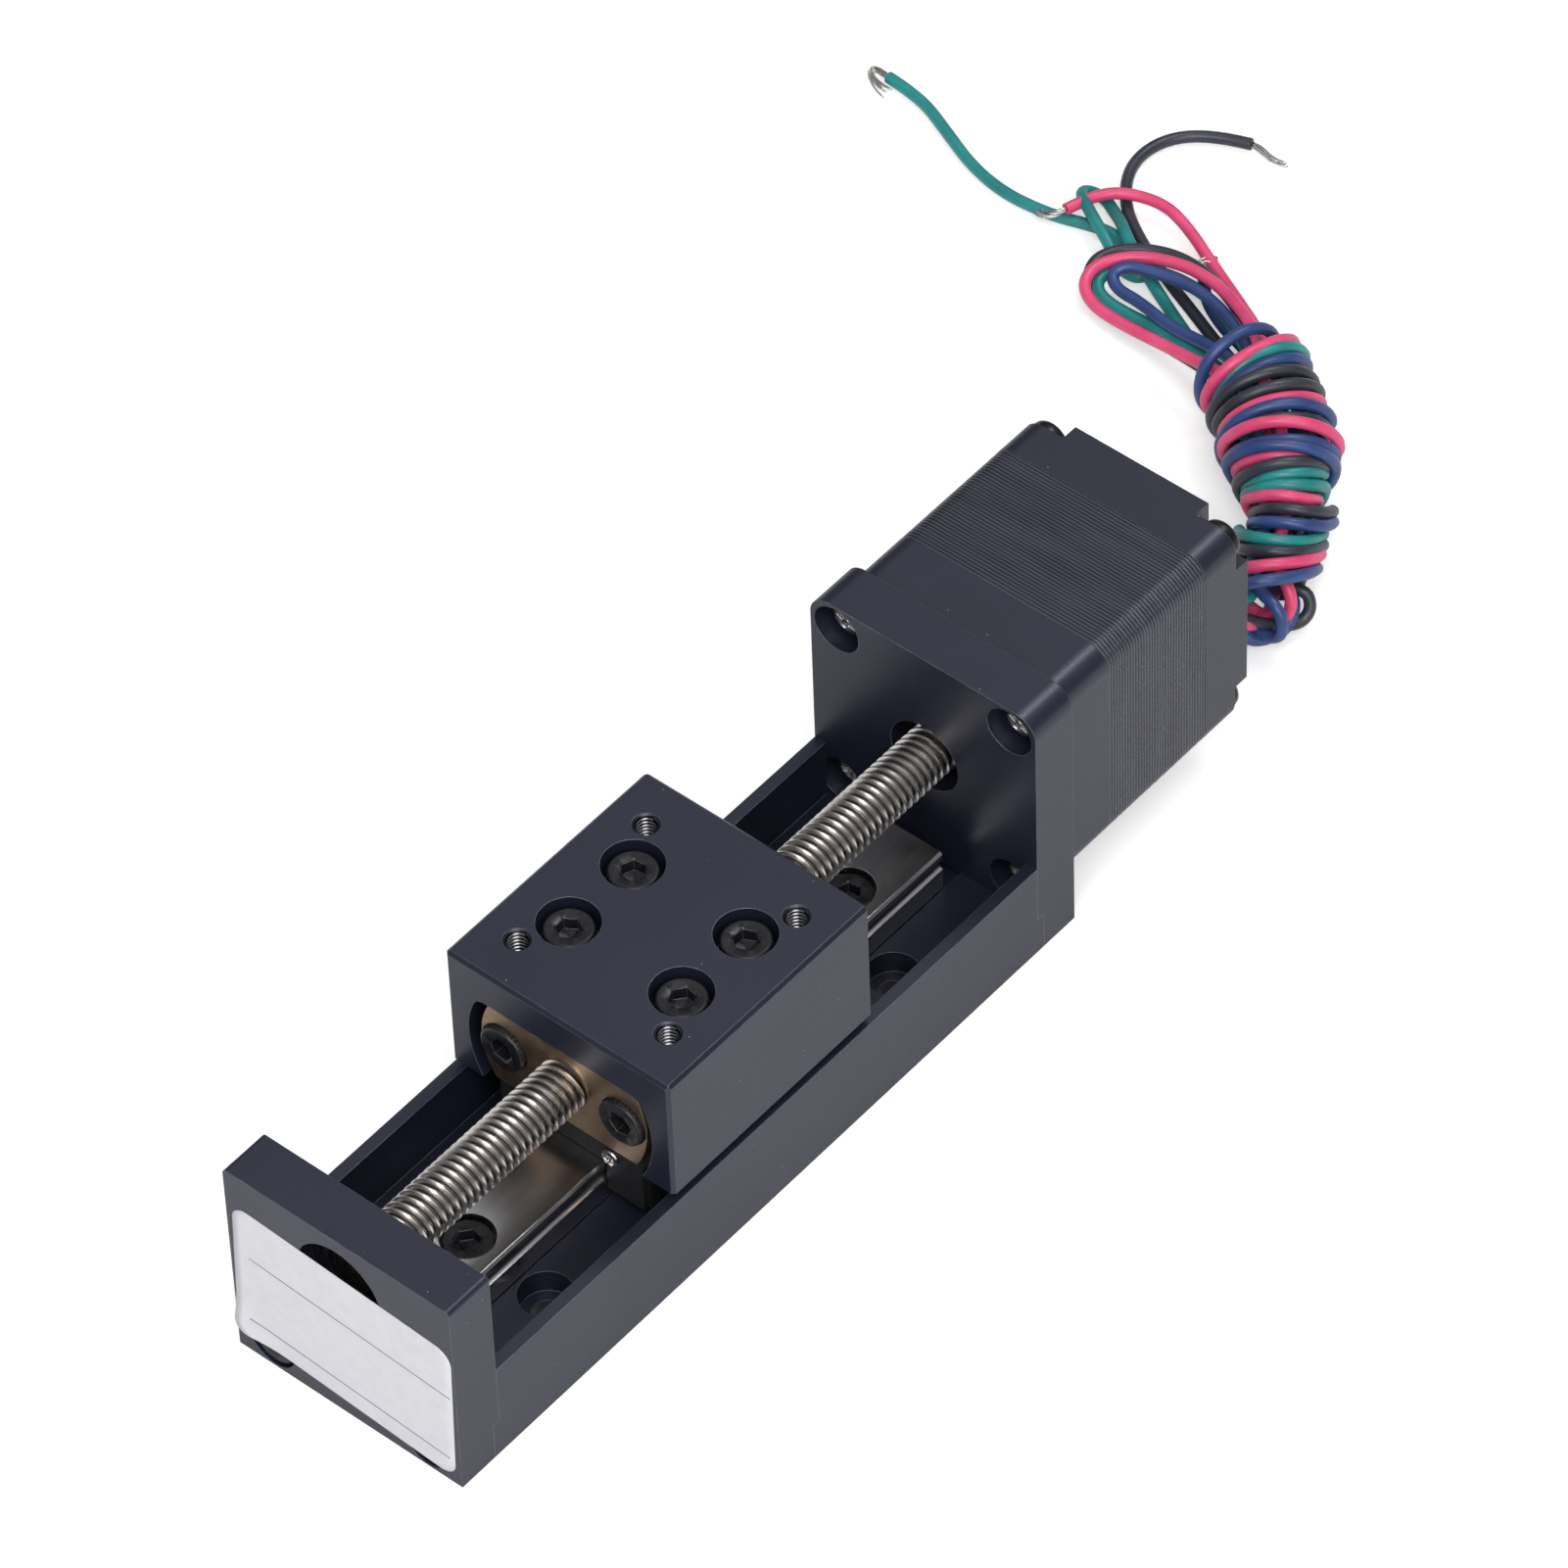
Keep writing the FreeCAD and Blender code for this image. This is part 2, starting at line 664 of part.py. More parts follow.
def saddle(body, sketch, half_width, bottom, top, chamfer, inside, roof):
    """Outline of a piece that sits astride the rail."""
    draw_outline(sketch, [
        (inside, bottom), (half_width, bottom),
        (half_width, "%s - %s" % (top, chamfer)), ("%s - %s" % (half_width, chamfer), top),
        ("-(%s - %s)" % (half_width, chamfer), top),
        ("-" + half_width, "%s - %s" % (top, chamfer)),
        ("-" + half_width, bottom), ("-" + inside, bottom), ("-" + inside, roof),
        (inside, roof)])


def make_guide_block():
    """Steel block astride the rail, with an arc raceway on each side and a return hole
    behind each raceway."""
    body = new_body("guide_block", "carriage_middle - block_length / 2")
    profile = new_sketch(body, "YZ_Plane")
    inside = "(rail_width / 2 + block_rail_gap)"
    saddle(body, profile, "(block_width / 2)", "block_bottom", "block_top",
           "block_edge_chamfer", inside, "(rail_top + block_roof_gap)")
    pad(body, profile, "block_length")
    raceways = side_pair("2 * raceway_spread", "raceway_level")
    drill(body, "YZ_Plane", "0", raceways, "groove_radius", "block_length", True)
    returns = side_pair("2 * return_spread", "raceway_level")
    drill(body, "YZ_Plane", "0", returns, "groove_radius", "block_length", True)
    threads = four_corners("block_hole_pitch_long", "block_hole_pitch_cross",
                           "block_length / 2")
    drill(body, "XY_Plane", "block_top", threads, "screw_hole_radius", "block_thread_depth")
    cap_holes = side_pair("2 * cap_screw_spread", "cap_screw_level")
    depth = "cap_screw_length - end_cap_length - end_seal_length + face_gap"
    drill(body, "YZ_Plane", "0", cap_holes, "cap_screw_radius + running_gap", depth, True)
    drill(body, "YZ_Plane", "block_length", cap_holes, "cap_screw_radius + running_gap", depth)
    return body


def make_end_cap(name, place, block_side):
    """Plastic cap that turns the balls from the raceway into the return hole."""
    body = new_body(name, place)
    profile = new_sketch(body, "YZ_Plane")
    inside = "(rail_width / 2 + block_rail_gap)"
    saddle(body, profile, "(block_width / 2 - end_cap_inset)", "block_bottom + end_cap_inset",
           "(block_top - end_cap_inset)", "block_edge_chamfer", inside,
           "(rail_top + block_roof_gap)")
    pad(body, profile, "end_cap_length")
    turn = new_sketch(body, "YZ_Plane", block_side)
    low = "raceway_level - groove_radius"
    high = "raceway_level + groove_radius"
    for side in ("", "-"):
        near = side + "raceway_spread"
        far = side + "return_spread"
        way = 1 if side == "" else -1
        draw_outline(turn, [(near, low), (far, low, "groove_radius", way), (far, high),
                            (near, high, "groove_radius", way)])
    pocket(body, turn, "turnaround_depth", block_side == "0")
    holes = side_pair("2 * cap_screw_spread", "cap_screw_level")
    drill(body, "YZ_Plane", "0", holes, "cap_screw_radius + running_gap",
          "end_cap_length", True)
    return body


def make_end_seal(name, place):
    """Thin wiper that follows the rail closely."""
    body = new_body(name, place)
    profile = new_sketch(body, "YZ_Plane")
    saddle(body, profile, "(block_width / 2 - end_seal_inset)",
           "block_bottom + end_seal_inset", "(block_top - end_seal_inset)",
           "block_edge_chamfer", "(rail_width / 2 + face_gap)", "(rail_top + face_gap)")
    pad(body, profile, "end_seal_length")
    holes = side_pair("2 * cap_screw_spread", "cap_screw_level")
    drill(body, "YZ_Plane", "0", holes, "cap_screw_radius + running_gap",
          "end_seal_length", True)
    return body


def make_guide_ends():
    block_front = "carriage_middle - block_length / 2"
    block_rear = "carriage_middle + block_length / 2"
    reach = "end_cap_length + end_seal_length"
    places = side_pair("2 * cap_screw_spread", "cap_screw_level")
    sizes = ("cap_screw_radius", "cap_screw_length", "cap_head_radius", "cap_head_height",
             "cap_cross_depth")
    front_screws = new_body("block_front_screws", "%s - (%s)" % (block_front, reach))
    add_screws(front_screws, "YZ_Plane", places, True, sizes, fine_cross_recess)
    rear_screws = new_body("block_rear_screws", "%s + %s" % (block_rear, reach))
    add_screws(rear_screws, "YZ_Plane", places, False, sizes, fine_cross_recess)
    return [
        make_end_cap("block_front_cap", block_front + " - end_cap_length", "end_cap_length"),
        make_end_cap("block_rear_cap", block_rear, "0"),
        make_end_seal("block_front_seal",
                      block_front + " - end_cap_length - end_seal_length"),
        make_end_seal("block_rear_seal", block_rear + " + end_cap_length"),
        front_screws, rear_screws]


def make_guide_balls():
    """Loaded balls between rail and block, one row on each side."""
    body = new_body("guide_balls", "carriage_middle", "0", "raceway_level")
    count = int(value("guide_balls_in_row"))
    pitch = "(block_length - 2 * guide_ball_radius) / (guide_balls_in_row - 1)"
    for side in (-1, 1):
        for number in range(count):
            ball = body.newObject("PartDesign::AdditiveSphere", "guide_ball")
            bind(ball, "Radius", "guide_ball_radius")
            ball.MapMode = "Deactivated"
            bind(ball, "Placement.Base.x",
                 "%s * (%s)" % (number - (count - 1) / 2, pitch))
            bind(ball, "Placement.Base.y", "%d * raceway_spread" % side)
    doc.recompute()
    return body


# Carriage and nut

def make_carriage():
    """Block on top of the guide block, bored for the nut and recessed for its flange."""
    body = new_body("carriage", "carriage_front")
    face = new_sketch(body, "YZ_Plane")
    draw_box(face, "-carriage_width / 2", "block_top", "carriage_width / 2", "carriage_top")
    pad(body, face, "carriage_length")
    soften(body, "Chamfer", "carriage_chamfer", lambda edge: runs_along(edge, "Z")
           or (edge.CenterOfMass.z > value("carriage_top") - 0.01))
    recess = new_sketch(body, "YZ_Plane")
    foot = "sqrt(nut_pocket_radius ^ 2 - (axis_height - block_top) ^ 2)"
    shoulder = "sqrt(nut_pocket_radius ^ 2 - (nut_pocket_top - axis_height) ^ 2)"
    draw_outline(recess, [("-" + foot, "block_top"),
                          (foot, "block_top", "nut_pocket_radius", 1),
                          (shoulder, "nut_pocket_top"),
                          ("-" + shoulder, "nut_pocket_top", "nut_pocket_radius", 1)])
    pocket(body, recess, "nut_pocket_depth", True)
    soften(body, "Fillet", "nut_pocket_corner", lambda edge: runs_along(edge, "X")
           and edge.Length < value("nut_pocket_depth") + 0.01
           and abs(edge.CenterOfMass.z - value("nut_pocket_top")) < 0.01)
    drill(body, "YZ_Plane", "0", [("0", "axis_height")], "nut_body_radius + face_gap",
          "carriage_length", True)
    drill(body, "YZ_Plane", "nut_pocket_depth", NUT_SCREWS, "screw_hole_radius",
          "nut_screw_length + nut_recess_depth - nut_flange_thickness + face_gap", True)
    screws = four_corners("block_hole_pitch_long", "block_hole_pitch_cross",
                          "carriage_length / 2")
    drill(body, "XY_Plane", "carriage_top", screws, "screw_radius + face_gap",
          "carriage_height")
    drill(body, "XY_Plane", "carriage_top", screws, "carriage_recess_radius",
          "carriage_recess_depth")
    threads = four_corners("carriage_hole_pitch", "carriage_hole_pitch",
                           "carriage_length / 2")
    drill(body, "XY_Plane", "carriage_top", threads, "carriage_thread_radius",
          "carriage_thread_depth")
    soften(body, "Chamfer", "thread_mouth_chamfer", lambda edge: is_mouth(
        edge, "carriage_thread_radius", "carriage_top"))
    return body


def make_carriage_screws():
    body = new_body("carriage_screws", "carriage_middle", "0",
                    "carriage_top - carriage_recess_depth")
    places = four_corners("block_hole_pitch_long", "block_hole_pitch_cross")
    add_screws(body, "XY_Plane", places, False, socket_sizes("carriage_screw_length"),
               socket_recess)
    return body


def make_flange_nut():
    """Bronze nut: a round flange with two flats and a plain body behind it."""
    body = new_body("flange_nut", "nut_place", "0", "axis_height")
    profile = new_sketch(body, "XZ_Plane")
    bore = "lead_screw_radius + running_gap"
    draw_outline(profile, [("0", bore), ("nut_length", bore), ("nut_length", "nut_body_radius"),
                           ("nut_flange_thickness", "nut_body_radius"),
                           ("nut_flange_thickness", "nut_flange_radius"),
                           ("0", "nut_flange_radius")])
    revolve(body, profile)
    flats = new_sketch(body, "YZ_Plane")
    edge = "(nut_flange_radius + 1)"
    for low, high in (("nut_flange_flats / 2", edge), ("-" + edge, "-nut_flange_flats / 2")):
        draw_box(flats, "-" + edge, low, edge, high)
    pocket(body, flats, "nut_flange_thickness", True)
    places = side_pair("nut_screw_spread", "0")
    drill(body, "YZ_Plane", "0", places, "screw_radius + face_gap",
          "nut_flange_thickness", True)
    drill(body, "YZ_Plane", "0", places, "nut_head_radius + face_gap", "nut_recess_depth", True)
    return body


def make_nut_screws():
    body = new_body("nut_screws", "nut_place + nut_recess_depth")
    sizes = socket_sizes("nut_screw_length", "nut_head_radius", "nut_head_height")
    add_screws(body, "YZ_Plane", NUT_SCREWS, True, sizes, socket_recess)
    return body


# Lead screw and bearings

def make_lead_screw():
    """One shaft: a journal in the front plate, the threaded length at its major diameter,
    and the motor's shaft."""
    body = new_body("lead_screw", "front_bearing_place - journal_overhang", "0",
                    "axis_height")
    start = "(front_bearing_place - journal_overhang)"
    thread_front = "journal_overhang + bearing_width"
    thread_rear = "motor_bearing_place - " + start
    end = "rear_bearing_place + bearing_width + journal_overhang - " + start
    profile = new_sketch(body, "XZ_Plane")
    draw_outline(profile, [("0", "0"), (end, "0"), (end, "journal_radius"),
                           (thread_rear, "journal_radius"),
                           (thread_rear, "lead_screw_radius"),
                           (thread_front, "lead_screw_radius"),
                           (thread_front, "journal_radius"), ("0", "journal_radius")])
    revolve(body, profile)
    return body


def bearing_ring(name, place, low, high, groove_above):
    """One ring of a ball bearing, with an arc groove for the balls."""
    body = new_body(name, place, "0", "axis_height")
    profile = new_sketch(body, "XZ_Plane")
    groove = "bearing_ball_radius + running_gap"
    edge = high if groove_above else low
    reach = "sqrt((%s) ^ 2 - (bearing_pitch_radius - (%s)) ^ 2)" % (groove, edge)
    left = "bearing_width / 2 - " + reach
    right = "bearing_width / 2 + " + reach
    if groove_above:
        corners = [("0", low), ("bearing_width", low), ("bearing_width", high),
                   (right, high, groove, -1), (left, high), ("0", high)]
    else:
        corners = [("0", low), (left, low, groove, -1), (right, low),
                   ("bearing_width", low), ("bearing_width", high), ("0", high)]
    draw_outline(profile, corners)
    revolve(body, profile)
    return body


def make_bearing(prefix, place):
    outer = bearing_ring(prefix + "_outer_ring", place,
                         "bearing_outer_radius - bearing_ring_thickness",
                         "bearing_outer_radius", False)
    inner_top = "journal_radius + bearing_ring_thickness"
    inner = bearing_ring(prefix + "_inner_ring", place, "journal_radius + running_gap",
                         inner_top, True)
    balls = new_body(prefix + "_balls", place + " + bearing_width / 2", "0", "axis_height")
    ball = balls.newObject("PartDesign::AdditiveSphere", "bearing_ball")
    bind(ball, "Radius", "bearing_ball_radius")
    bind(ball, "Placement.Base.z", "bearing_pitch_radius")
    doc.recompute()
    ring_copies(balls, [ball], "bearing_ball_count")
    return [outer, inner, balls]


def make_front_bearing_seal():
    """Black washer-shaped seal on the open side of the front bearing."""
    body = new_body("front_bearing_seal", "front_bearing_place", "0", "axis_height")
    face = new_sketch(body, "YZ_Plane")
    draw_circle(face, "0", "0", "bearing_outer_radius - bearing_ring_thickness - running_gap")
    draw_circle(face, "0", "0", "journal_radius + bearing_ring_thickness + running_gap")
    pad(body, face, "bearing_seal_thickness")
    return body


# Motor

def motor_square(body, length):
    face = new_sketch(body, "YZ_Plane")
    draw_box(face, "-motor_square / 2", "-motor_square / 2", "motor_square / 2",
             "motor_square / 2")
    pad(body, face, length)
    soften(body, "Fillet", "motor_corner_radius", lambda edge: runs_along(edge, "X"))


TIE_PLACES = four_corners("motor_screw_pitch", "motor_screw_pitch")
AXIS = [("0", "0")]


def make_motor_front_cap():
    """Front cap with the pilot that centres the motor in its plate."""
    body = new_body("motor_front_cap", "motor_face", "0", "axis_height")
    motor_square(body, "front_cap_length")
    pilot = new_sketch(body, "YZ_Plane")
    draw_circle(pilot, "0", "0", "pilot_radius")
    pad(body, pilot, "pilot_height", True)
    seat_end = "pilot_lip + bearing_width - pilot_height"
    drill(body, "YZ_Plane", "front_cap_length", AXIS, "winding_room_radius",
          "front_cap_length - (%s)" % seat_end)
    drill(body, "YZ_Plane", seat_end, AXIS, "bearing_seat_radius", "bearing_width")
    drill(body, "YZ_Plane", "0", AXIS, "shaft_hole_radius", "pilot_height")
    drill(body, "YZ_Plane", "0", TIE_PLACES, "small_hole_radius", "front_cap_length", True)
    return body


def make_stator_stack():
    """Stack of sheets with eight poles round the rotor and slots for the windings."""
    body = new_body("stator_stack", "stator_front", "0", "axis_height")
    motor_square(body, "stator_length")
    drill(body, "YZ_Plane", "0", AXIS, "stator_bore_radius", "stator_length", True)
    slot = new_sketch(body, "YZ_Plane")
    mouth = "slot_mouth_width / 2"
    inner = "stator_bore_radius - slot_shoulder"
    root = "slot_root_width / 2"
    top = "slot_top_width / 2"
    shoulder = "slot_root_radius + slot_shoulder"
    draw_outline(slot, [(inner, "-" + mouth), ("slot_root_radius", "-" + mouth),
                        (shoulder, "-" + root), ("slot_top_radius", "-" + top),
                        ("slot_top_radius", top), (shoulder, root),
                        ("slot_root_radius", mouth), (inner, mouth)])
    cut = pocket(body, slot, "stator_length", True)
    ring_copies(body, [cut], "pole_count")
    drill(body, "YZ_Plane", "0", TIE_PLACES, "small_hole_radius", "stator_length", True)
    return body


def make_stator_windings():
    """One coil round each pole, standing out of the stack at both ends."""
    body = new_body("stator_windings", "stator_front", "0", "axis_height",
                    "180 / pole_count")
    face = new_sketch(body, "YZ_Plane", "-winding_end_length")
    draw_box(face, "winding_inner_radius", "-winding_width / 2", "winding_outer_radius",
             "winding_width / 2")
    coil = pad(body, face, "stator_length + 2 * winding_end_length")
    hole = new_sketch(body, "XY_Plane", "0")
    draw_box(hole, "-face_gap", "winding_inner_radius - face_gap",
             "stator_length + face_gap", "winding_outer_radius + face_gap")
    gap = body.newObject("PartDesign::Pocket", "winding_hole")
    gap.Profile = hole
    gap.Midplane = True
    bind(gap, "Length", "winding_hole_width")
    doc.recompute()
    ring_copies(body, [coil, gap], "pole_count")
    return body


def make_motor_rear_cap():
    """Rear cap with a cross-shaped boss between the four tie screws."""
    body = new_body("motor_rear_cap", "stator_rear", "0", "axis_height")
    motor_square(body, "rear_cap_length")
    boss = new_sketch(body, "YZ_Plane", "rear_cap_length")
    draw_cross(boss, "0", "0", "motor_square", "motor_square - 2 * rear_notch_size")
    pad(body, boss, "rear_boss_height")
    drill(body, "YZ_Plane", "0", AXIS, "winding_room_radius", "rear_seat_setback", True)
    drill(body, "YZ_Plane", "0", AXIS, "bearing_seat_radius",
          "rear_seat_setback + bearing_width + wave_washer_thickness", True)
    drill(body, "YZ_Plane", "0", TIE_PLACES, "small_hole_radius", "rear_cap_length", True)
    drill(body, "YZ_Plane", "0", [("0", "-grommet_drop")], "grommet_radius + running_gap",
          "rear_cap_length + rear_boss_height", True)
    return body


def make_motor_screws():
    mounting = new_body("motor_screws", "base_rear + motor_screw_recess_depth", "0",
                        "axis_height")
    sizes = ("small_screw_radius", "motor_screw_length", "small_head_radius",
             "small_head_height", "small_cross_depth")
    add_screws(mounting, "YZ_Plane", TIE_PLACES, True, sizes, cross_recess)
    length = "front_cap_length + stator_length + rear_cap_length - tie_screw_stop"
    ties = new_body("motor_tie_screws", "stator_rear + rear_cap_length", "0", "axis_height")
    sizes = ("small_screw_radius", length, "small_head_radius", "small_head_height",
             "small_cross_depth")
    add_screws(ties, "YZ_Plane", TIE_PLACES, False, sizes, cross_recess)
    return [mounting, ties]


def make_tube_piece(name, place, inner, outer, length):
    """Plain ring on the screw's axis."""
    body = new_body(name, place, "0", "axis_height")
    face = new_sketch(body, "YZ_Plane")
    draw_circle(face, "0", "0", outer)
    draw_circle(face, "0", "0", inner)
    pad(body, face, length)
    return body


def make_rotor():
    """Two iron cores with a ring magnet between them, on the motor's shaft."""
    middle = "stator_front + stator_length / 2"
    bore = "journal_radius + running_gap"
    outside = "stator_bore_radius - air_gap"
    front = middle + " - rotor_magnet_length / 2 - rotor_core_length"
    return [
        make_tube_piece("rotor_front_core", front, bore, outside, "rotor_core_length"),
        make_tube_piece("rotor_rear_core", middle + " + rotor_magnet_length / 2", bore,
                        outside, "rotor_core_length"),
        make_tube_piece("rotor_magnet", middle + " - rotor_magnet_length / 2", bore,
                        outside + " - air_gap", "rotor_magnet_length")]


def make_wave_washer():
    return make_tube_piece("wave_washer", "rear_bearing_place + bearing_width",
                           "bearing_pitch_radius + face_gap",
                           "bearing_outer_radius - face_gap", "wave_washer_thickness")


def make_grommet():
    """Rubber bush that the four leads come out of."""
    body = new_body("wire_grommet", "motor_end", "0", "axis_height - grommet_drop")
    face = new_sketch(body, "YZ_Plane")
    draw_circle(face, "0", "0", "grommet_radius")
    pad(body, face, "rear_cap_length + rear_boss_height - rear_seat_setback", True)
    return body


# Flying leads: places are measured back from the motor's rear face, from the module's
# middle plane and up from the surface that the module stands on

LEAD_PATH = [(0.0, 0.0, 11.4), (2.8, 0.0, 11.4), (5.8, -1.9, 9.6), (8.8, -4.4, 7.0),
             (11.8, -5.8, 5.4), (14.4, -5.9, 4.8)]
LEAD_SIDES = {"green": (-1, 1), "black": (1, 1), "red": (-1, -1), "blue": (1, -1)}

# Hank of wrapped leads: middle of each section and its radius
HANK_SECTIONS = [(39.9, 17.5, 5.4), (35.3, 9.7, 5.9), (31.1, 5.3, 6.3), (25.2, -0.1, 4.9),
                 (18.7, -3.4, 4.9), (13.0, -6.2, 4.8)]

LOOP_PATHS = {
    "red": [(36.9, 17.6, 7.4), (38.2, 22.6, 5.4), (38.6, 29.0, 3.9), (38.8, 35.6, 3.7),
            (40.2, 40.2, 3.7), (43.6, 42.2, 3.7), (47.4, 40.4, 3.7), (49.4, 35.6, 3.7),
            (49.0, 29.4, 4.0), (46.2, 22.6, 5.6), (42.6, 17.4, 7.2)],
    "blue": [(38.9, 17.0, 6.7), (40.7, 22.0, 5.2), (41.4, 28.4, 4.0), (41.6, 34.0, 3.8),
             (42.9, 37.8, 3.8), (45.3, 37.6, 3.8), (47.3, 33.6, 3.8), (46.9, 27.8, 4.0),
             (43.9, 21.6, 4.9), (40.6, 16.6, 5.2)],
    "green": [(38.7, 17.0, 4.6), (40.4, 22.4, 3.2), (40.9, 29.2, 2.3), (41.0, 36.0, 2.3),
              (42.6, 40.2, 2.3), (45.8, 40.8, 2.3), (48.4, 37.6, 2.3), (48.6, 31.6, 2.3),
              (45.8, 24.2, 3.0), (41.9, 17.6, 3.5)],
    "black": [(37.3, 17.2, 3.6), (39.0, 22.8, 2.4), (39.2, 30.0, 2.3), (39.4, 37.2, 2.3),
              (41.4, 42.2, 2.3), (45.6, 43.8, 2.3), (49.8, 41.2, 2.3), (51.7, 35.6, 2.3),
              (50.6, 28.6, 2.3), (47.2, 22.2, 2.9), (43.1, 16.8, 4.2)],
}

TAIL_PATHS = {
    "green": [(39.2, 16.2, 1.5), (40.9, 23.4, 0.8), (45.1, 32.2, 0.8), (48.7, 40.0, 0.8),
              (51.2, 46.4, 0.8), (50.4, 51.9, 0.8), (48.7, 57.4, 0.8), (49.4, 63.8, 0.8),
              (52.0, 69.8, 0.8), (54.4, 75.4, 0.8), (54.7, 80.4, 0.8)],
    "black": [(40.8, 15.4, 1.7), (44.5, 24.5, 0.8), (47.5, 32.1, 0.8), (51.6, 40.8, 0.8),
              (56.0, 47.4, 0.8), (61.8, 50.6, 0.8), (67.4, 49.0, 0.8), (70.4, 45.4, 0.8),
              (71.6, 41.6, 0.8)],
    "red": [(43.2, 13.8, 3.2), (47.4, 19.4, 1.4), (51.4, 26.2, 0.8), (55.4, 33.6, 1.0),
            (57.9, 40.2, 2.1), (57.0, 46.2, 2.4), (53.4, 49.6, 2.4), (49.8, 50.8, 2.4)],
    "blue": [(42.2, 14.6, 2.4), (45.4, 20.4, 1.2), (47.9, 27.3, 0.8), (49.8, 31.1, 0.8),
             (51.9, 32.7, 0.8)],
}

STRAND_ENDS = {
    "green": [(54.7, 80.4, 0.8), (54.8, 83.2, 0.8)],
    "black": [(71.6, 41.6, 0.8), (72.5, 38.6, 0.8)],
    "red": [(49.8, 50.8, 2.4), (47.1, 51.7, 2.4)],
    "blue": [(51.9, 32.7, 0.8), (53.5, 33.3, 0.8)],
}


def route(points):
    end = value("motor_end")
    return [Vector(end + x, y, z) for x, y, z in points]


def bent_path(points):
    """Straight runs joined by tangent arcs, as large as the two runs at a corner allow."""
    edges = []
    radii = []
    here = points[0]
    for before, corner, after in zip(points, points[1:], points[2:]):
        inward = (corner - before).normalize()
        outward = (after - corner).normalize()
        half_turn = inward.getAngle(outward) / 2
        cut = 0.45 * min((corner - before).Length, (after - corner).Length)
        start = corner - inward * cut
        stop = corner + outward * cut
        radius = cut / math.tan(half_turn)
        middle_way = (outward - inward).normalize()
        centre = corner + middle_way * (radius / math.cos(half_turn))
        middle = centre - middle_way * radius
        edges.append(Part.LineSegment(here, start).toShape())
        edges.append(Part.Arc(start, middle, stop).toShape())
        radii.append(radius)
        here = stop
    edges.append(Part.LineSegment(here, points[-1]).toShape())
    return Part.Wire(edges), radii


def make_tube(name, points, diameter):
    """Round tube along a bent path, checked against its section times its length."""
    path, radii = bent_path(points)
    start = points[0]
    ring = Part.Wire(Part.Circle(start, points[1] - start, diameter / 2).toShape())
    tube = path.makePipeShell([ring], True, False)
    expected = math.pi * diameter ** 2 / 4 * path.Length
    if not tube.isValid() or abs(tube.Volume / expected - 1) > 0.01:
        raise RuntimeError(name + ": the tube's volume is wrong")
    smallest = min(radii) / diameter if radii else 0.0
    print("%s: length %.1f, smallest bend %.1f diameters" % (name, path.Length, smallest))
    return tube


def add_shape(name, shape):
    made = doc.addObject("Part::Feature", name)
    made.Label = name
    made.Shape = shape
    made.Placement = Placement()
    return made


def make_leads():
    """The four leads of each stretch, every stretch in a piece of its own."""
    thick = value("lead_diameter")
    spread = value("lead_spread")
    made = []
    for colour, (side, rise) in LEAD_SIDES.items():
        points = [point + Vector(0, side * spread, rise * spread)
                  for point in route(LEAD_PATH)]
        made.append(add_shape(colour + "_lead", make_tube(colour + "_lead", points, thick)))
    for kind, paths in (("loop", LOOP_PATHS), ("tail", TAIL_PATHS)):
        for colour, points in paths.items():
            name = colour + "_" + kind
            made.append(add_shape(name, make_tube(name, route(points), thick)))
    return made


def make_hank():
    """Closed outer shape of the wrapped leads, lying on the surface."""
    middles = route([(x, y, radius) for x, y, radius in HANK_SECTIONS])
    rings = []
    for number, (middle, section) in enumerate(zip(middles, HANK_SECTIONS)):
        before = middles[max(number - 1, 0)]
        after = middles[min(number + 1, len(middles) - 1)]
        along = after - before
        along.z = 0
        ring = Part.makeCircle(section[2])
        ring.Placement = Placement(middle, Rotation(Vector(0, 0, 1), Vector(), along, "ZXY"))
        rings.append(Part.Wire(ring))
    return add_shape("wire_hank", Part.makeLoft(rings, True, False))


def make_strands():
    """Bare ends of the four leads."""
    thick = value("strand_diameter")
    ends = [make_tube(colour + " strands", route(points), thick)
            for colour, points in STRAND_ENDS.items()]
    return add_shape("bare_strands", Part.makeCompound(ends))


def check(pieces):
    """Stop when a feature failed or a piece has no sound shape."""
    doc.recompute()
    for item in doc.Objects:
        if {"Invalid", "Error"} & set(item.State):
            raise RuntimeError(item.Label + " failed: " + str(item.State))
    for piece in pieces:
        if piece.Shape.isNull() or not piece.Shape.isValid():
            raise RuntimeError(piece.Label + " has no sound shape")


fill_sheet()
pieces = [make_base_channel(), make_front_plate(), make_motor_plate(), make_label(),
          make_guide_rail(), make_rail_screws(), make_guide_block(), make_guide_balls(),
          make_carriage(), make_carriage_screws(), make_flange_nut(), make_nut_screws(),
          make_lead_screw(), make_front_bearing_seal(), make_motor_front_cap(),
          make_stator_stack(), make_stator_windings(), make_motor_rear_cap(),
          make_wave_washer(), make_grommet(), make_hank(), make_strands()]
pieces += make_end_screws() + make_guide_ends() + make_motor_screws() + make_rotor()
pieces += make_bearing("front_bearing", "front_bearing_place")
pieces += make_bearing("motor_front_bearing", "motor_bearing_place")
pieces += make_bearing("motor_rear_bearing", "rear_bearing_place")
pieces += make_leads()
check(pieces)

os.makedirs("parts", exist_ok=True)
for piece in pieces:
    piece.Shape.exportStep("parts/%s.step" % piece.Label)
print(len(pieces), "pieces")
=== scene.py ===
"""Visual model of a motor-driven screw linear module: black anodised channel, end plates
and carriage on a small rail guide, a bright two-start screw in a bronze nut, and a square
motor whose four flying leads are wound into a hank. Lengths are in metres, and mm turns
millimetres into them."""

import math

import bmesh
import bpy
import numpy as np
from mathutils import Matrix, Vector


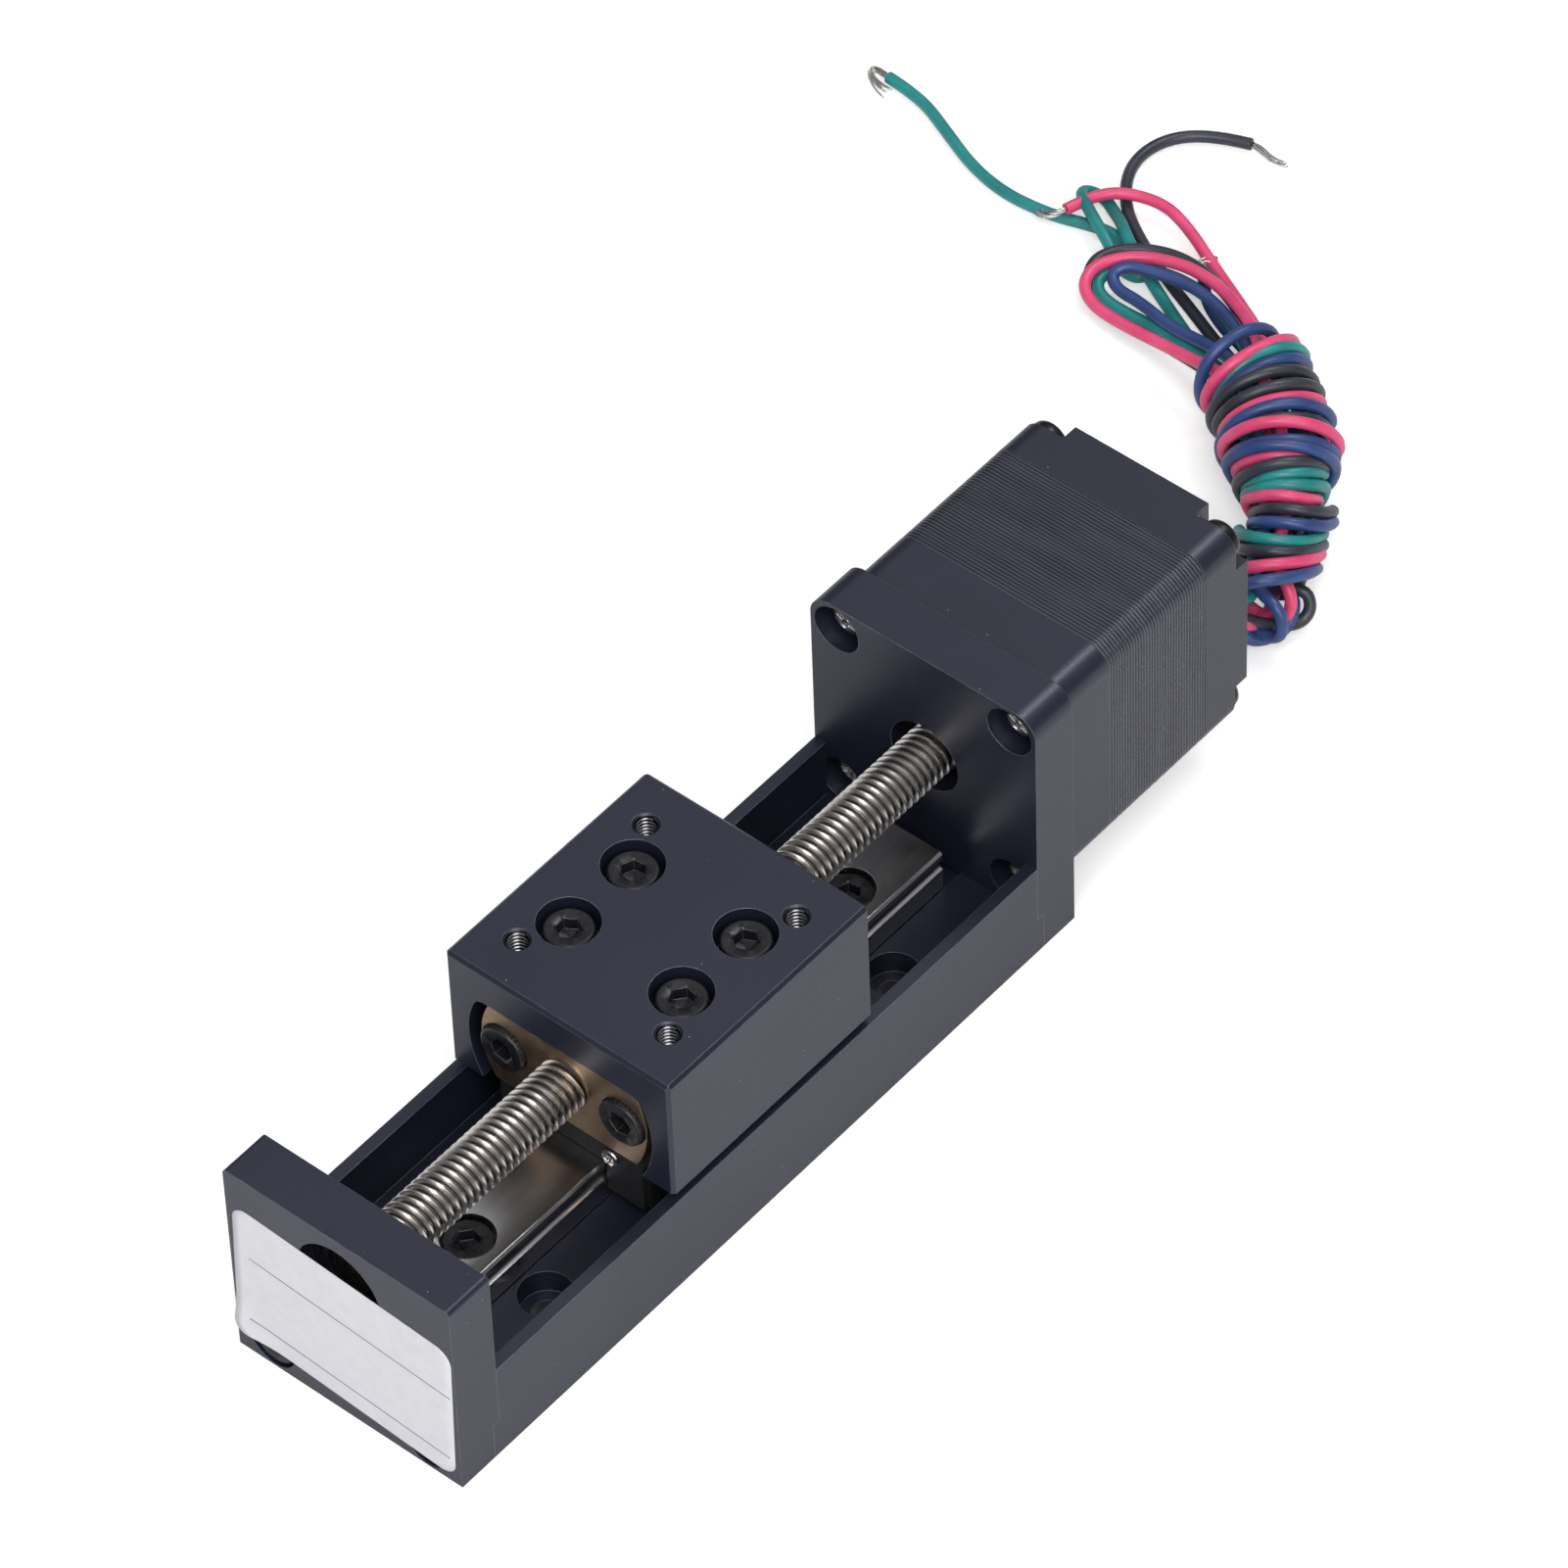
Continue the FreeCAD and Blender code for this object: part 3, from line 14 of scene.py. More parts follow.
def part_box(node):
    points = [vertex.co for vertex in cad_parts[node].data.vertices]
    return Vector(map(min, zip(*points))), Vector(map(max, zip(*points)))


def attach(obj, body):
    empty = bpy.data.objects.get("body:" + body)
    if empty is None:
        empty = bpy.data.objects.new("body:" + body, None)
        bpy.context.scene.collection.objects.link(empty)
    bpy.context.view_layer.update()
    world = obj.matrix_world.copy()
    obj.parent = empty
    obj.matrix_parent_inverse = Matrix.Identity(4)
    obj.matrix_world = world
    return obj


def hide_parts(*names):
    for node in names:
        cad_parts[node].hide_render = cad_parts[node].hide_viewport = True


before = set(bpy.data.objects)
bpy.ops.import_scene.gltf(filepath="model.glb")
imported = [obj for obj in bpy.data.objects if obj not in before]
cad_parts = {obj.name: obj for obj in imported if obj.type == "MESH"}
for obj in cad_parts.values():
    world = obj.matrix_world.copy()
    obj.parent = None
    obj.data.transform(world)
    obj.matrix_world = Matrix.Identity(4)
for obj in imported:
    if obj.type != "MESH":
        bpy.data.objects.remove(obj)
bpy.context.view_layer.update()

mm = 0.001
FULL = 2 * math.pi


# Meshes from grids of points

def add_object(name, data):
    """New object in the scene for a mesh, a curve, a lamp or a camera."""
    made = bpy.data.objects.new(name, data)
    bpy.context.scene.collection.objects.link(made)
    return made


def grid_faces(rows, columns, closed):
    """Four-cornered faces between the points of a grid. Face (r, c) joins points (r, c),
    (r + 1, c), (r + 1, c + 1) and (r, c + 1); a closed grid joins its last column to its
    first."""
    last = columns if closed else columns - 1
    row, column = np.meshgrid(np.arange(rows - 1), np.arange(last), indexing="ij")
    after = (column + 1) % columns
    corners = (row * columns + column, (row + 1) * columns + column,
               (row + 1) * columns + after, row * columns + after)
    return np.stack(corners, axis=-1).reshape(-1, 4)


def make_piece(name, grids, smooth=True, weld=1e-6):
    """Object from grids of points, each (points, closed). Points nearer than the weld
    distance become one, which also closes the poles, and all faces are turned outwards."""
    points, faces, first = [], [], 0
    for grid, closed in grids:
        rows, columns, _ = grid.shape
        points.append(grid.reshape(-1, 3))
        faces.append(grid_faces(rows, columns, closed) + first)
        first += rows * columns
    points = np.concatenate(points)
    faces = np.concatenate(faces)
    mesh = bpy.data.meshes.new(name)
    mesh.from_pydata(points.tolist(), [], faces.tolist())
    tidy_mesh(mesh, weld)
    mesh.polygons.foreach_set("use_smooth", np.full(len(mesh.polygons), smooth))
    return add_object(name, mesh)


def tidy_mesh(mesh, weld):
    """Merges the points that meet, and turns the faces outwards."""
    work = bmesh.new()
    work.from_mesh(mesh)
    bmesh.ops.remove_doubles(work, verts=work.verts, dist=weld)
    bmesh.ops.dissolve_degenerate(work, dist=weld / 2, edges=work.edges)
    bmesh.ops.recalc_face_normals(work, faces=work.faces)
    work.to_mesh(mesh)
    work.free()


def sharpen(piece, degrees):
    """Edges that turn by more than the angle stay crisp."""
    piece.data.set_sharp_from_angle(angle=math.radians(degrees))


def turned(profile, sides, place, axis):
    """Grid of a profile of (radius, height) turned round an axis: point (r, c) lies at the
    profile's radius r, at the angle of c, and at the profile's height along the axis."""
    profile = np.asarray(profile, float)
    ring = ring_about(axis, sides)
    return (np.asarray(place, float) + profile[:, :1, None] * ring
            + profile[:, 1, None, None] * np.asarray(axis, float))


def ring_about(axis, sides, turn=0.0):
    """Outward directions at even angles round an axis. The turn is the first one's angle
    from the level."""
    axis = np.asarray(axis, float)
    across = np.array([1.0, 0, 0]) if abs(axis[2]) > 0.9 else np.cross([0, 0, 1.0], axis)
    angle = np.arange(sides) * FULL / sides + turn
    return np.cos(angle)[:, None] * across + np.sin(angle)[:, None] * np.cross(axis, across)


def belongs(piece, body, slot, *nodes):
    """The piece rides on a body and stands for CAD nodes. The slot is not used."""
    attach(piece, body)
    if nodes:
        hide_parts(*nodes)


# Places that the frame gives

def low(node):
    """Low corner of a CAD node's box."""
    return np.array(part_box(node)[0])


def high(node):
    """High corner of a CAD node's box."""
    return np.array(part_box(node)[1])


MOTOR_END = high("motor_rear_cap")[0]
FRONT_FACE = low("front_plate")[0]
AXIS_HEIGHT = (low("lead_screw")[2] + high("lead_screw")[2]) / 2
CARRIAGE_TOP = high("carriage")[2]
CARRIAGE_MIDDLE = (low("carriage")[0] + high("carriage")[0]) / 2

# How far the carriage's tapped holes lie from its middle, along and across
TAPPED_SPREAD = 10.0 * mm

# Sheets in the motor's stack
SHEET_COUNT = 36


# Finishes

BEVEL_SAMPLES = 6
FACE_LEAN, EDGE_LEAN = 0.985, 0.8


def opaque(colour):
    """Colour with its fourth number, where a grey may be one number. A socket stays."""
    if isinstance(colour, bpy.types.NodeSocket):
        return colour
    grey = isinstance(colour, (int, float))
    return (colour, colour, colour, 1) if grey else (*colour, 1)


class NodeTree:
    """Nodes of a material or of the world, with short ways to add them. Each value is
    another node's socket, or a plain number or colour."""

    def __init__(self, owner):
        owner.use_nodes = True
        self.nodes = owner.node_tree.nodes
        self.links = owner.node_tree.links

    def add(self, kind, **settings):
        """New node with its settings."""
        made = self.nodes.new("ShaderNode" + kind)
        for name, value in settings.items():
            setattr(made, name, value)
        return made

    def feed(self, socket, value):
        """Gives an input its value: a link from another socket, or a constant."""
        if isinstance(value, bpy.types.NodeSocket):
            self.links.new(value, socket)
        else:
            socket.default_value = value

    def set(self, node, **values):
        """Feeds a node's inputs by name; an underscore stands for a space."""
        for name, value in values.items():
            self.feed(node.inputs[name.replace("_", " ")], value)

    def coordinates(self, scale=(1, 1, 1)):
        """Place on the object, drawn out by a scale along each axis."""
        mapping = self.add("Mapping")
        self.set(mapping, Vector=self.add("TexCoord").outputs["Object"], Scale=scale)
        return mapping.outputs["Vector"]

    def axes(self, vector):
        """Parts of a vector along X, Y and Z."""
        parts = self.add("SeparateXYZ")
        self.set(parts, Vector=vector)
        return parts.outputs

    def noise(self, where, scale, detail=4.0, roughness=0.55):
        """Cloudy grey value between 0 and 1."""
        made = self.add("TexNoise")
        self.set(made, Vector=where, Scale=scale, Detail=detail, Roughness=roughness)
        return made.outputs["Fac"]

    def ramp(self, source, stops):
        """Colour or grey that follows a source through the given (place, colour) stops."""
        made = self.add("ValToRGB")
        elements = made.color_ramp.elements
        while len(elements) < len(stops):
            elements.new(0.5)
        for element, (place, colour) in zip(elements, stops):
            element.position = place
            element.color = opaque(colour)
        self.set(made, Fac=source)
        return made.outputs["Color"]

    def span(self, source, start, stop):
        """Share of the way of a source from a start to a stop, between 0 and 1."""
        made = self.add("MapRange")
        self.set(made, Value=source, From_Min=start, From_Max=stop)
        return made.outputs["Result"]

    def blend(self, share, first, second):
        """Mix of two colours."""
        made = self.add("Mix", data_type="RGBA")
        self.set(made, Factor=share, A=opaque(first), B=opaque(second))
        return made.outputs["Result"]

    def math(self, operation, *values):
        """Result of a sum on one or two values."""
        made = self.add("Math", operation=operation)
        for socket, value in zip(made.inputs, values):
            self.feed(socket, value)
        return made.outputs["Value"]

    def relief(self, height, strength, distance, **normal):
        """Normal of a fine relief, on top of another normal where one is given."""
        made = self.add("Bump")
        self.set(made, Height=height, Strength=strength, Distance=distance, **normal)
        return made.outputs["Normal"]

    def edges(self, radius):
        """Normal that is rounded near the edges, and how far it leans from the true one: 0
        on a face and 1 on an edge, by the dot product of the two."""
        rounded = self.add("Bevel", samples=BEVEL_SAMPLES)
        self.set(rounded, Radius=radius)
        lean = self.add("VectorMath", operation="DOT_PRODUCT")
        self.feed(lean.inputs[0], rounded.outputs["Normal"])
        self.feed(lean.inputs[1], self.add("NewGeometry").outputs["Normal"])
        return rounded.outputs["Normal"], self.span(lean.outputs["Value"], FACE_LEAN, EDGE_LEAN)

    def specks(self, spacing, share, size):
        """Sparse tiny dots of dust: near the middle of a few cells of the given spacing."""
        cells = self.add("TexVoronoi")
        self.set(cells, Vector=self.coordinates(), Scale=1 / spacing)
        near = self.math("LESS_THAN", cells.outputs["Distance"], size / spacing)
        pick = self.add("SeparateColor")
        self.set(pick, Color=cells.outputs["Color"])
        return self.math("MULTIPLY", near, self.math("LESS_THAN", pick.outputs["Red"], share))


def new_finish(name):
    """Empty material, its node tree and its shader."""
    material = bpy.data.materials.new(name)
    tree = NodeTree(material)
    return material, tree, tree.nodes["Principled BSDF"]


# Gloss of anodised or painted black: a little strong, and cold
BLACK_GLOSS = {"Specular_IOR_Level": 0.66, "Specular_Tint": (0.86, 0.86, 1.0, 1.0)}
FACE_DUST = (0.45, 0.45, 0.47)
SHEET_DUST = (0.4, 0.4, 0.42)
RULED_LINE = (0.16, 0.16, 0.2)


def anodised(name, dark, light, edge_highlight_colour, edge_share=0.75):
    """Black anodised aluminium: fine matte grain, cloudy tone, edges painted lighter in patches,
    partly as wear and partly as a painted edge highlight, and a few specks of dust."""
    material, tree, shader = new_finish(name)
    where = tree.coordinates()
    tone = tree.ramp(tree.noise(where, 90.0, 3.0), [(0.3, dark), (0.75, light)])
    normal, edge = tree.edges(0.00014)
    # Lighter colour on the edges, broken into patches: partly wear, partly a painted edge
    # highlight
    wear_and_glint = tree.ramp(tree.noise(where, 900.0, 2.0), [(0.3, 0.35), (0.7, 1.0)])
    edge = tree.math("MULTIPLY", tree.math("MULTIPLY", edge, wear_and_glint), edge_share)
    tone = tree.blend(edge, tone, edge_highlight_colour)
    dust = tree.specks(spacing=0.0014, share=0.26, size=0.000055)
    grain = tree.noise(where, 6500.0, 2.0)
    tree.set(shader, Base_Color=tree.blend(dust, tone, FACE_DUST),
             Roughness=tree.ramp(grain, [(0.3, 0.31), (0.7, 0.41)]),
             Normal=tree.relief(grain, 0.12, 0.00003, Normal=normal), **BLACK_GLOSS)
    return material


def sheet_stack(name, dark, light, start, thick):
    """Painted stack of sheets: colour that is light in the middle of each sheet's rim, a painted
    highlight of its rounded edge, and dark where two sheets meet, by the sine of the place along
    the stack, with faint smears and a grain."""
    material, tree, shader = new_finish(name)
    along = tree.math("SUBTRACT", tree.axes(tree.coordinates())["X"], start - thick / 4)
    wave = tree.math("SINE", tree.math("MULTIPLY", along, FULL / thick))
    smear = tree.noise(tree.coordinates((500.0, 90.0, 90.0)), 1.0, 3.0)
    # Painted highlight in the middle of each sheet, dark at the joints, with faint smears
    rim = tree.math("ADD", tree.math("MULTIPLY", wave, -0.5), smear)
    tone = tree.ramp(rim, [(0.1, dark), (0.9, light)])
    dust = tree.specks(spacing=0.0016, share=0.16, size=0.00005)
    grain = tree.noise(tree.coordinates(), 5000.0, 2.0)
    tree.set(shader, Base_Color=tree.blend(dust, tone, SHEET_DUST),
             Roughness=tree.ramp(grain, [(0.3, 0.25), (0.7, 0.33)]),
             Normal=tree.relief(grain, 0.1, 0.00002), **BLACK_GLOSS)
    return material


def thread_metal(name, valley, crest, root, top, first, second, roughness):
    """Cut or rolled thread with painted light: a painted shade in the valleys and a painted
    highlight on the crests, each set by the distance from the axis. First and second are a
    coordinate, its middle and how far the axis lies on each side of it: |coordinate - middle| -
    distance."""
    material, tree, shader = new_finish(name)
    place = tree.axes(tree.coordinates())
    squares = 0.0
    for letter, middle, distance in (first, second):
        side = tree.math("ABSOLUTE", tree.math("SUBTRACT", place[letter], middle))
        side = tree.math("SUBTRACT", side, distance)
        squares = tree.math("ADD", tree.math("MULTIPLY", side, side), squares)
    reach = tree.span(tree.math("SQRT", squares), root, top)
    # Painted light by distance from the axis: the first colour near it, the second farther out
    tone = tree.ramp(reach, [(0.1, valley), (0.85, crest)])
    cloud = tree.noise(tree.coordinates(), 400.0, 3.0)
    stain = tree.ramp(cloud, [(0.4, 0.0), (0.75, 0.25)])
    tree.set(shader, Base_Color=tree.blend(stain, tone, valley), Metallic=1.0,
             Roughness=tree.ramp(cloud, [(0.3, roughness - 0.05), (0.7, roughness + 0.05)]))
    return material


def brushed(name, dark, light, stretch, roughness, metallic=1.0, edge_highlight_colour=None,
            uneven=0.16, grain=0.15):
    """Bare metal with fine marks, drawn out along one axis by the stretch. The edge colour, where
    one is given, is a painted highlight along the edges.
    """
    material, tree, shader = new_finish(name)
    marks = tree.noise(tree.coordinates(stretch), 1.0, 5.0, 0.7)
    cloud = tree.noise(tree.coordinates(), 70.0, 3.0)
    tone = tree.ramp(marks, [(0.3, dark), (0.72, light)])
    tone = tree.blend(tree.ramp(cloud, [(0.4, 0.0), (0.75, 0.45)]), tone, dark)
    normal, edge = tree.edges(0.0001)
    # Painted highlight along the edges
    if edge_highlight_colour:
        tone = tree.blend(edge, tone, edge_highlight_colour)
    spread = [(0.3, roughness - 0.4 * uneven), (0.7, roughness + 0.6 * uneven)]
    tree.set(shader, Base_Color=tone, Metallic=metallic, Roughness=tree.ramp(marks, spread),
             Normal=tree.relief(marks, grain, 0.00002, Normal=normal))
    return material


def plain(name, dark, light, roughness, scale, depth, metallic=0.0):
    """Moulded, painted or coated surface with a small change of tone and a fine grain."""
    material, tree, shader = new_finish(name)
    where = tree.coordinates()
    tone = tree.ramp(tree.noise(where, scale, 4.0), [(0.3, dark), (0.72, light)])
    grain = tree.noise(where, scale * 12, 2.0)
    normal, _ = tree.edges(0.00008)
    tree.set(shader, Base_Color=tone, Metallic=metallic,
             Roughness=tree.ramp(grain, [(0.3, roughness - 0.05), (0.7, roughness + 0.08)]),
             Normal=tree.relief(grain, 0.2, depth, Normal=normal))
    return material


def insulation(name, dark, light):
    """Extruded wire insulation: smooth, a little waxy, with faint scuffs."""
    material, tree, shader = new_finish(name)
    where = tree.coordinates()
    tone = tree.ramp(tree.noise(where, 260.0, 3.0), [(0.3, dark), (0.7, light)])
    scuff = tree.noise(where, 1500.0, 3.0)
    tree.set(shader, Base_Color=tone, Roughness=tree.ramp(scuff, [(0.35, 0.32), (0.7, 0.48)]),
             Normal=tree.relief(scuff, 0.1, 0.00002), Coat_Weight=0.1, Coat_Roughness=0.3)
    return material


def label_paper(name, lines, line_half, ends):
    """Off-white coated paper. The ruled lines lie at given shares of the height, between
    two shares of the width, in the sticker's own UV map."""
    material, tree, shader = new_finish(name)
    place = tree.axes(tree.add("UVMap", uv_map="UVMap").outputs["UV"])
    fibre = tree.noise(tree.coordinates(), 700.0, 4.0)
    tone = tree.ramp(fibre, [(0.3, (0.66, 0.66, 0.70)), (0.7, (0.71, 0.71, 0.75))])
    inside = tree.math("MULTIPLY", tree.math("GREATER_THAN", place["X"], ends[0]),
                       tree.math("LESS_THAN", place["X"], ends[1]))
    drawn = 0.0
    for level in lines:
        gap = tree.math("ABSOLUTE", tree.math("SUBTRACT", place["Y"], level))
        drawn = tree.math("MAXIMUM", drawn, tree.math("LESS_THAN", gap, line_half))
    tone = tree.blend(tree.math("MULTIPLY", drawn, inside), tone, RULED_LINE)
    tree.set(shader, Base_Color=tone, Roughness=tree.ramp(fibre, [(0.3, 0.42), (0.7, 0.55)]),
             Normal=tree.relief(fibre, 0.08, 0.00003))
    return material


def finish(piece, material):
    """Gives a piece its one material."""
    piece.data.materials.clear()
    piece.data.materials.append(material)
    return piece


# The last colour of each black finish below is its edge colour: partly wear, partly a painted
# edge highlight
BLACK = anodised("black_anodised_face", (0.0095, 0.0115, 0.023), (0.0135, 0.0155, 0.030),
                 (0.30, 0.31, 0.34))
CARRIAGE_BLACK = anodised("black_anodised_carriage", (0.0090, 0.0110, 0.023),
                          (0.0125, 0.0145, 0.029), (0.34, 0.35, 0.38))
MOTOR_BLACK = anodised("black_painted_casting", (0.0100, 0.0120, 0.023),
                       (0.0140, 0.0160, 0.030), (0.26, 0.27, 0.30), 0.6)
# The light colour of the sheets is a painted highlight in the middle of each sheet
STACK_BLACK = sheet_stack("black_painted_sheets", (0.0040, 0.0050, 0.012),
                          (0.050, 0.052, 0.068), low("stator_stack")[0],
                          (high("stator_stack") - low("stator_stack"))[0] / SHEET_COUNT)
# The edge colour given to the brushed metals below is a painted highlight along their edges
BLACK_OXIDE = brushed("black_oxide_steel", (0.009, 0.009, 0.012), (0.024, 0.024, 0.028),
                      (700.0, 700.0, 700.0), 0.30, 0.35, (0.26, 0.26, 0.28))
ZINC = brushed("zinc_bright_steel", (0.46, 0.45, 0.44), (0.72, 0.71, 0.69),
               (600.0, 600.0, 600.0), 0.24, 1.0, (0.85, 0.85, 0.84))
RAIL_STEEL = brushed("ground_rail_steel", (0.58, 0.57, 0.58), (0.66, 0.65, 0.66),
                     (60.0, 2600.0, 2600.0), 0.24, 1.0, (0.66, 0.65, 0.63), 0.05, 0.03)
BLOCK_STEEL = brushed("ground_block_steel", (0.26, 0.25, 0.24), (0.48, 0.47, 0.46),
                      (90.0, 1800.0, 1800.0), 0.28, 1.0, (0.7, 0.7, 0.68))
# Screw: the darker colour near the axis is painted shade in the thread's valleys, the light one a
# painted highlight on its crests
THREAD_STEEL = thread_metal("rolled_thread_steel", (0.22, 0.20, 0.19), (0.80, 0.77, 0.74),
                            0.00244, 0.0029, ("Y", 0.0, 0.0), ("Z", AXIS_HEIGHT, 0.0), 0.30)
# Tapped holes: the light colour near each hole's axis is a painted highlight on the thread's
# crests, the near-black one painted shade in its roots
TAPPED_ALUMINIUM = thread_metal("tapped_aluminium", (0.24, 0.24, 0.25), (0.010, 0.010, 0.013),
                                0.00108, 0.00116, ("X", CARRIAGE_MIDDLE, TAPPED_SPREAD),
                                ("Y", 0.0, TAPPED_SPREAD), 0.25)
BEARING_STEEL = brushed("bearing_steel", (0.45, 0.45, 0.45), (0.68, 0.68, 0.67),
                        (1200.0, 300.0, 300.0), 0.2)
BRONZE = brushed("turned_bronze", (0.30, 0.20, 0.13), (0.58, 0.43, 0.30),
                 (900.0, 240.0, 240.0), 0.38, 1.0, (0.66, 0.52, 0.36))
GUIDE_PLASTIC = plain("guide_cap_plastic", (0.012, 0.020, 0.017), (0.022, 0.032, 0.028),
                      0.42, 500.0, 0.00003)
SEAL_RUBBER = plain("seal_rubber", (0.010, 0.010, 0.012), (0.020, 0.020, 0.023),
                    0.6, 700.0, 0.00004)
COPPER = plain("enamelled_copper", (0.30, 0.10, 0.035), (0.50, 0.20, 0.08), 0.3, 900.0,
               0.00004, 0.8)
MAGNET = plain("sintered_magnet", (0.09, 0.09, 0.10), (0.15, 0.15, 0.16), 0.5, 800.0,
               0.00004, 0.6)
PAPER = label_paper("label_paper", (0.62, 0.125), 0.0045, (0.06, 0.985))
WIRE_FINISH = {
    "green": insulation("green_insulation", (0.009, 0.185, 0.18), (0.020, 0.29, 0.285)),
    "black": insulation("black_insulation", (0.024, 0.026, 0.040), (0.042, 0.045, 0.062)),
    "red": insulation("pink_red_insulation", (0.66, 0.050, 0.150), (0.86, 0.090, 0.235)),
    "blue": insulation("navy_blue_insulation", (0.020, 0.047, 0.17), (0.036, 0.078, 0.245)),
}
TINNED = brushed("tinned_copper_strand", (0.50, 0.49, 0.47), (0.78, 0.77, 0.75),
                 (900.0, 900.0, 900.0), 0.25)

NODE_FINISH = {
    "base_channel": BLACK, "front_plate": BLACK, "motor_plate": BLACK,
    "carriage": CARRIAGE_BLACK,
    "motor_front_cap": MOTOR_BLACK, "motor_rear_cap": MOTOR_BLACK,
    "guide_rail": RAIL_STEEL, "guide_block": BLOCK_STEEL,
    "block_front_cap": GUIDE_PLASTIC, "block_rear_cap": GUIDE_PLASTIC,
    "block_front_seal": SEAL_RUBBER, "block_rear_seal": SEAL_RUBBER,
    "front_bearing_seal": SEAL_RUBBER, "wire_grommet": SEAL_RUBBER,
    "flange_nut": BRONZE, "stator_windings": COPPER, "rotor_magnet": MAGNET,
    "rotor_front_core": STACK_BLACK, "rotor_rear_core": STACK_BLACK,
}
for node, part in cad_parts.items():
    finish(part, NODE_FINISH.get(node, BEARING_STEEL))


# Lead screw

THREAD_LEAD = 2.0 * mm
THREAD_STARTS = 2
THREAD_ROOT = 2.42 * mm
THREAD_CREST = 3.0 * mm
THREAD_BLUNT = THREAD_ROOT - 0.1 * mm
THREAD_SIDES = 44
JOURNAL_RADIUS = 2.49 * mm
JOURNAL_EDGE = 0.3 * mm
JOURNAL_OVERLAP = 0.5 * mm


def thread_grid(start, stop, lead, starts, profile, sides, blunt):
    """Grid of a thread about the X axis: a point of the profile at share p of the pitch
    lies at x = start + pitch * (turn + p) + lead * angle / full turn, so each row of the
    grid follows the helix. At both ends x stops at the end plane, and the radius falls
    to the blunt radius there."""
    pitch = lead / starts
    shares = np.array([share for share, _ in profile])
    radii = np.array([radius for _, radius in profile])
    turns = np.arange(-starts - 1, math.ceil((stop - start) / pitch) + 1)
    along = (start + pitch * (turns[:, None] + shares)).reshape(-1, 1)
    radius = np.tile(radii, len(turns)).reshape(-1, 1)
    angle = np.linspace(0, FULL, sides + 1)
    x = np.clip(along + lead * angle / FULL, start, stop)
    edge = blunt + np.minimum(x - start, stop - x)
    reach = np.minimum(radius + 0 * x, edge)
    return np.stack([x, reach * np.cos(angle), AXIS_HEIGHT + reach * np.sin(angle)], axis=-1)


def make_lead_screw():
    """Two-start rolled thread with rounded crests, between the two plain journals."""
    start = high("front_bearing_inner_ring")[0]
    stop = low("motor_front_bearing_inner_ring")[0]
    shoulder, top = THREAD_CREST - 0.10 * mm, THREAD_CREST - 0.01 * mm
    ridge = [(0.0, THREAD_ROOT), (0.28, THREAD_ROOT), (0.40, shoulder), (0.47, top),
             (0.70, top), (0.77, shoulder), (0.90, THREAD_ROOT)]
    thread = thread_grid(start, stop, THREAD_LEAD, THREAD_STARTS, ridge, THREAD_SIDES,
                         THREAD_BLUNT)
    place, axis = (0, 0, AXIS_HEIGHT), (1, 0, 0)
    plain_parts = [turned([(0, at), (THREAD_BLUNT, at)], THREAD_SIDES, place, axis)
                   for at in (start, stop)]
    radius, edge = JOURNAL_RADIUS, JOURNAL_EDGE
    for first, last in ((low("lead_screw")[0], start + JOURNAL_OVERLAP),
                        (stop - JOURNAL_OVERLAP, high("lead_screw")[0])):
        profile = [(0, first), (radius - edge, first), (radius, first + edge),
                   (radius, last - edge), (radius - edge, last), (0, last)]
        plain_parts.append(turned(profile, 48, place, axis))
    piece = make_piece("threaded_screw",
                       [(thread, False)] + [(grid, True) for grid in plain_parts])
    sharpen(piece, 40)
    finish(piece, THREAD_STEEL)
    belongs(piece, "screw_unit", "screw_steel", "lead_screw")


# Screws

HEAD = 2.75 * mm
HEAD_HEIGHT = 3.0 * mm
NUT_HEAD = 2.85 * mm
NUT_HEAD_HEIGHT = 2.0 * mm
SOCKET_FLATS = 2.5 * mm
SOCKET_DEPTH = 1.6 * mm
SOCKET_RIM = 1.62 * mm
SHANK = 1.48 * mm
KNURL_DIP = 0.045
SCREW_SIDES = 96
TURNS = [0.35, 1.1, 2.0, 2.75]


def hexagon(sides, flats):
    """Radius of a hexagon, across the given flats, at each of the sides' angles."""
    angle = np.arange(sides) * FULL / sides
    return flats / 2 / np.cos((angle % (FULL / 6)) - FULL / 12)


def rows_about(rows, place, axis, turn):
    """Grid of rows about an axis, each row (radius at each angle, height), where the height
    too may be given at each angle."""
    ring = ring_about(axis, SCREW_SIDES, turn)
    return np.array([np.asarray(place, float) + radius[:, None] * ring
                     + (height * np.ones(SCREW_SIDES))[:, None] * np.asarray(axis, float)
                     for radius, height in rows])


def socket_screw(place, axis, length, turn, head=HEAD, top=HEAD_HEIGHT):
    """Socket screw with a knurled head: its radius dips at every third column on the side,
    and the socket is a hexagon with a drilled cone at the bottom."""
    even = np.ones(SCREW_SIDES)
    knurl = head * (even - KNURL_DIP * (np.arange(SCREW_SIDES) % 3 == 0))
    socket = hexagon(SCREW_SIDES, SOCKET_FLATS)
    floor = top - SOCKET_DEPTH
    chamfer = 0.25 * mm
    rows = [(0 * even, -length), ((SHANK - chamfer) * even, -length),
            (SHANK * even, chamfer - length), (SHANK * even, 0),
            ((head - 0.15 * mm) * even, 0), (knurl, 0.15 * mm), (knurl, top - 0.42 * mm),
            ((head - 0.03 * mm) * even, top - 0.3 * mm),
            ((head - 0.10 * mm) * even, top - 0.10 * mm), ((head - 0.28 * mm) * even, top),
            (SOCKET_RIM * even, top), (socket + 0.02 * mm, top - 0.14 * mm),
            (socket, floor), (0.5 * socket, floor - 0.25 * mm), (0 * even, floor - 0.45 * mm)]
    return rows_about(rows, place, axis, turn), True


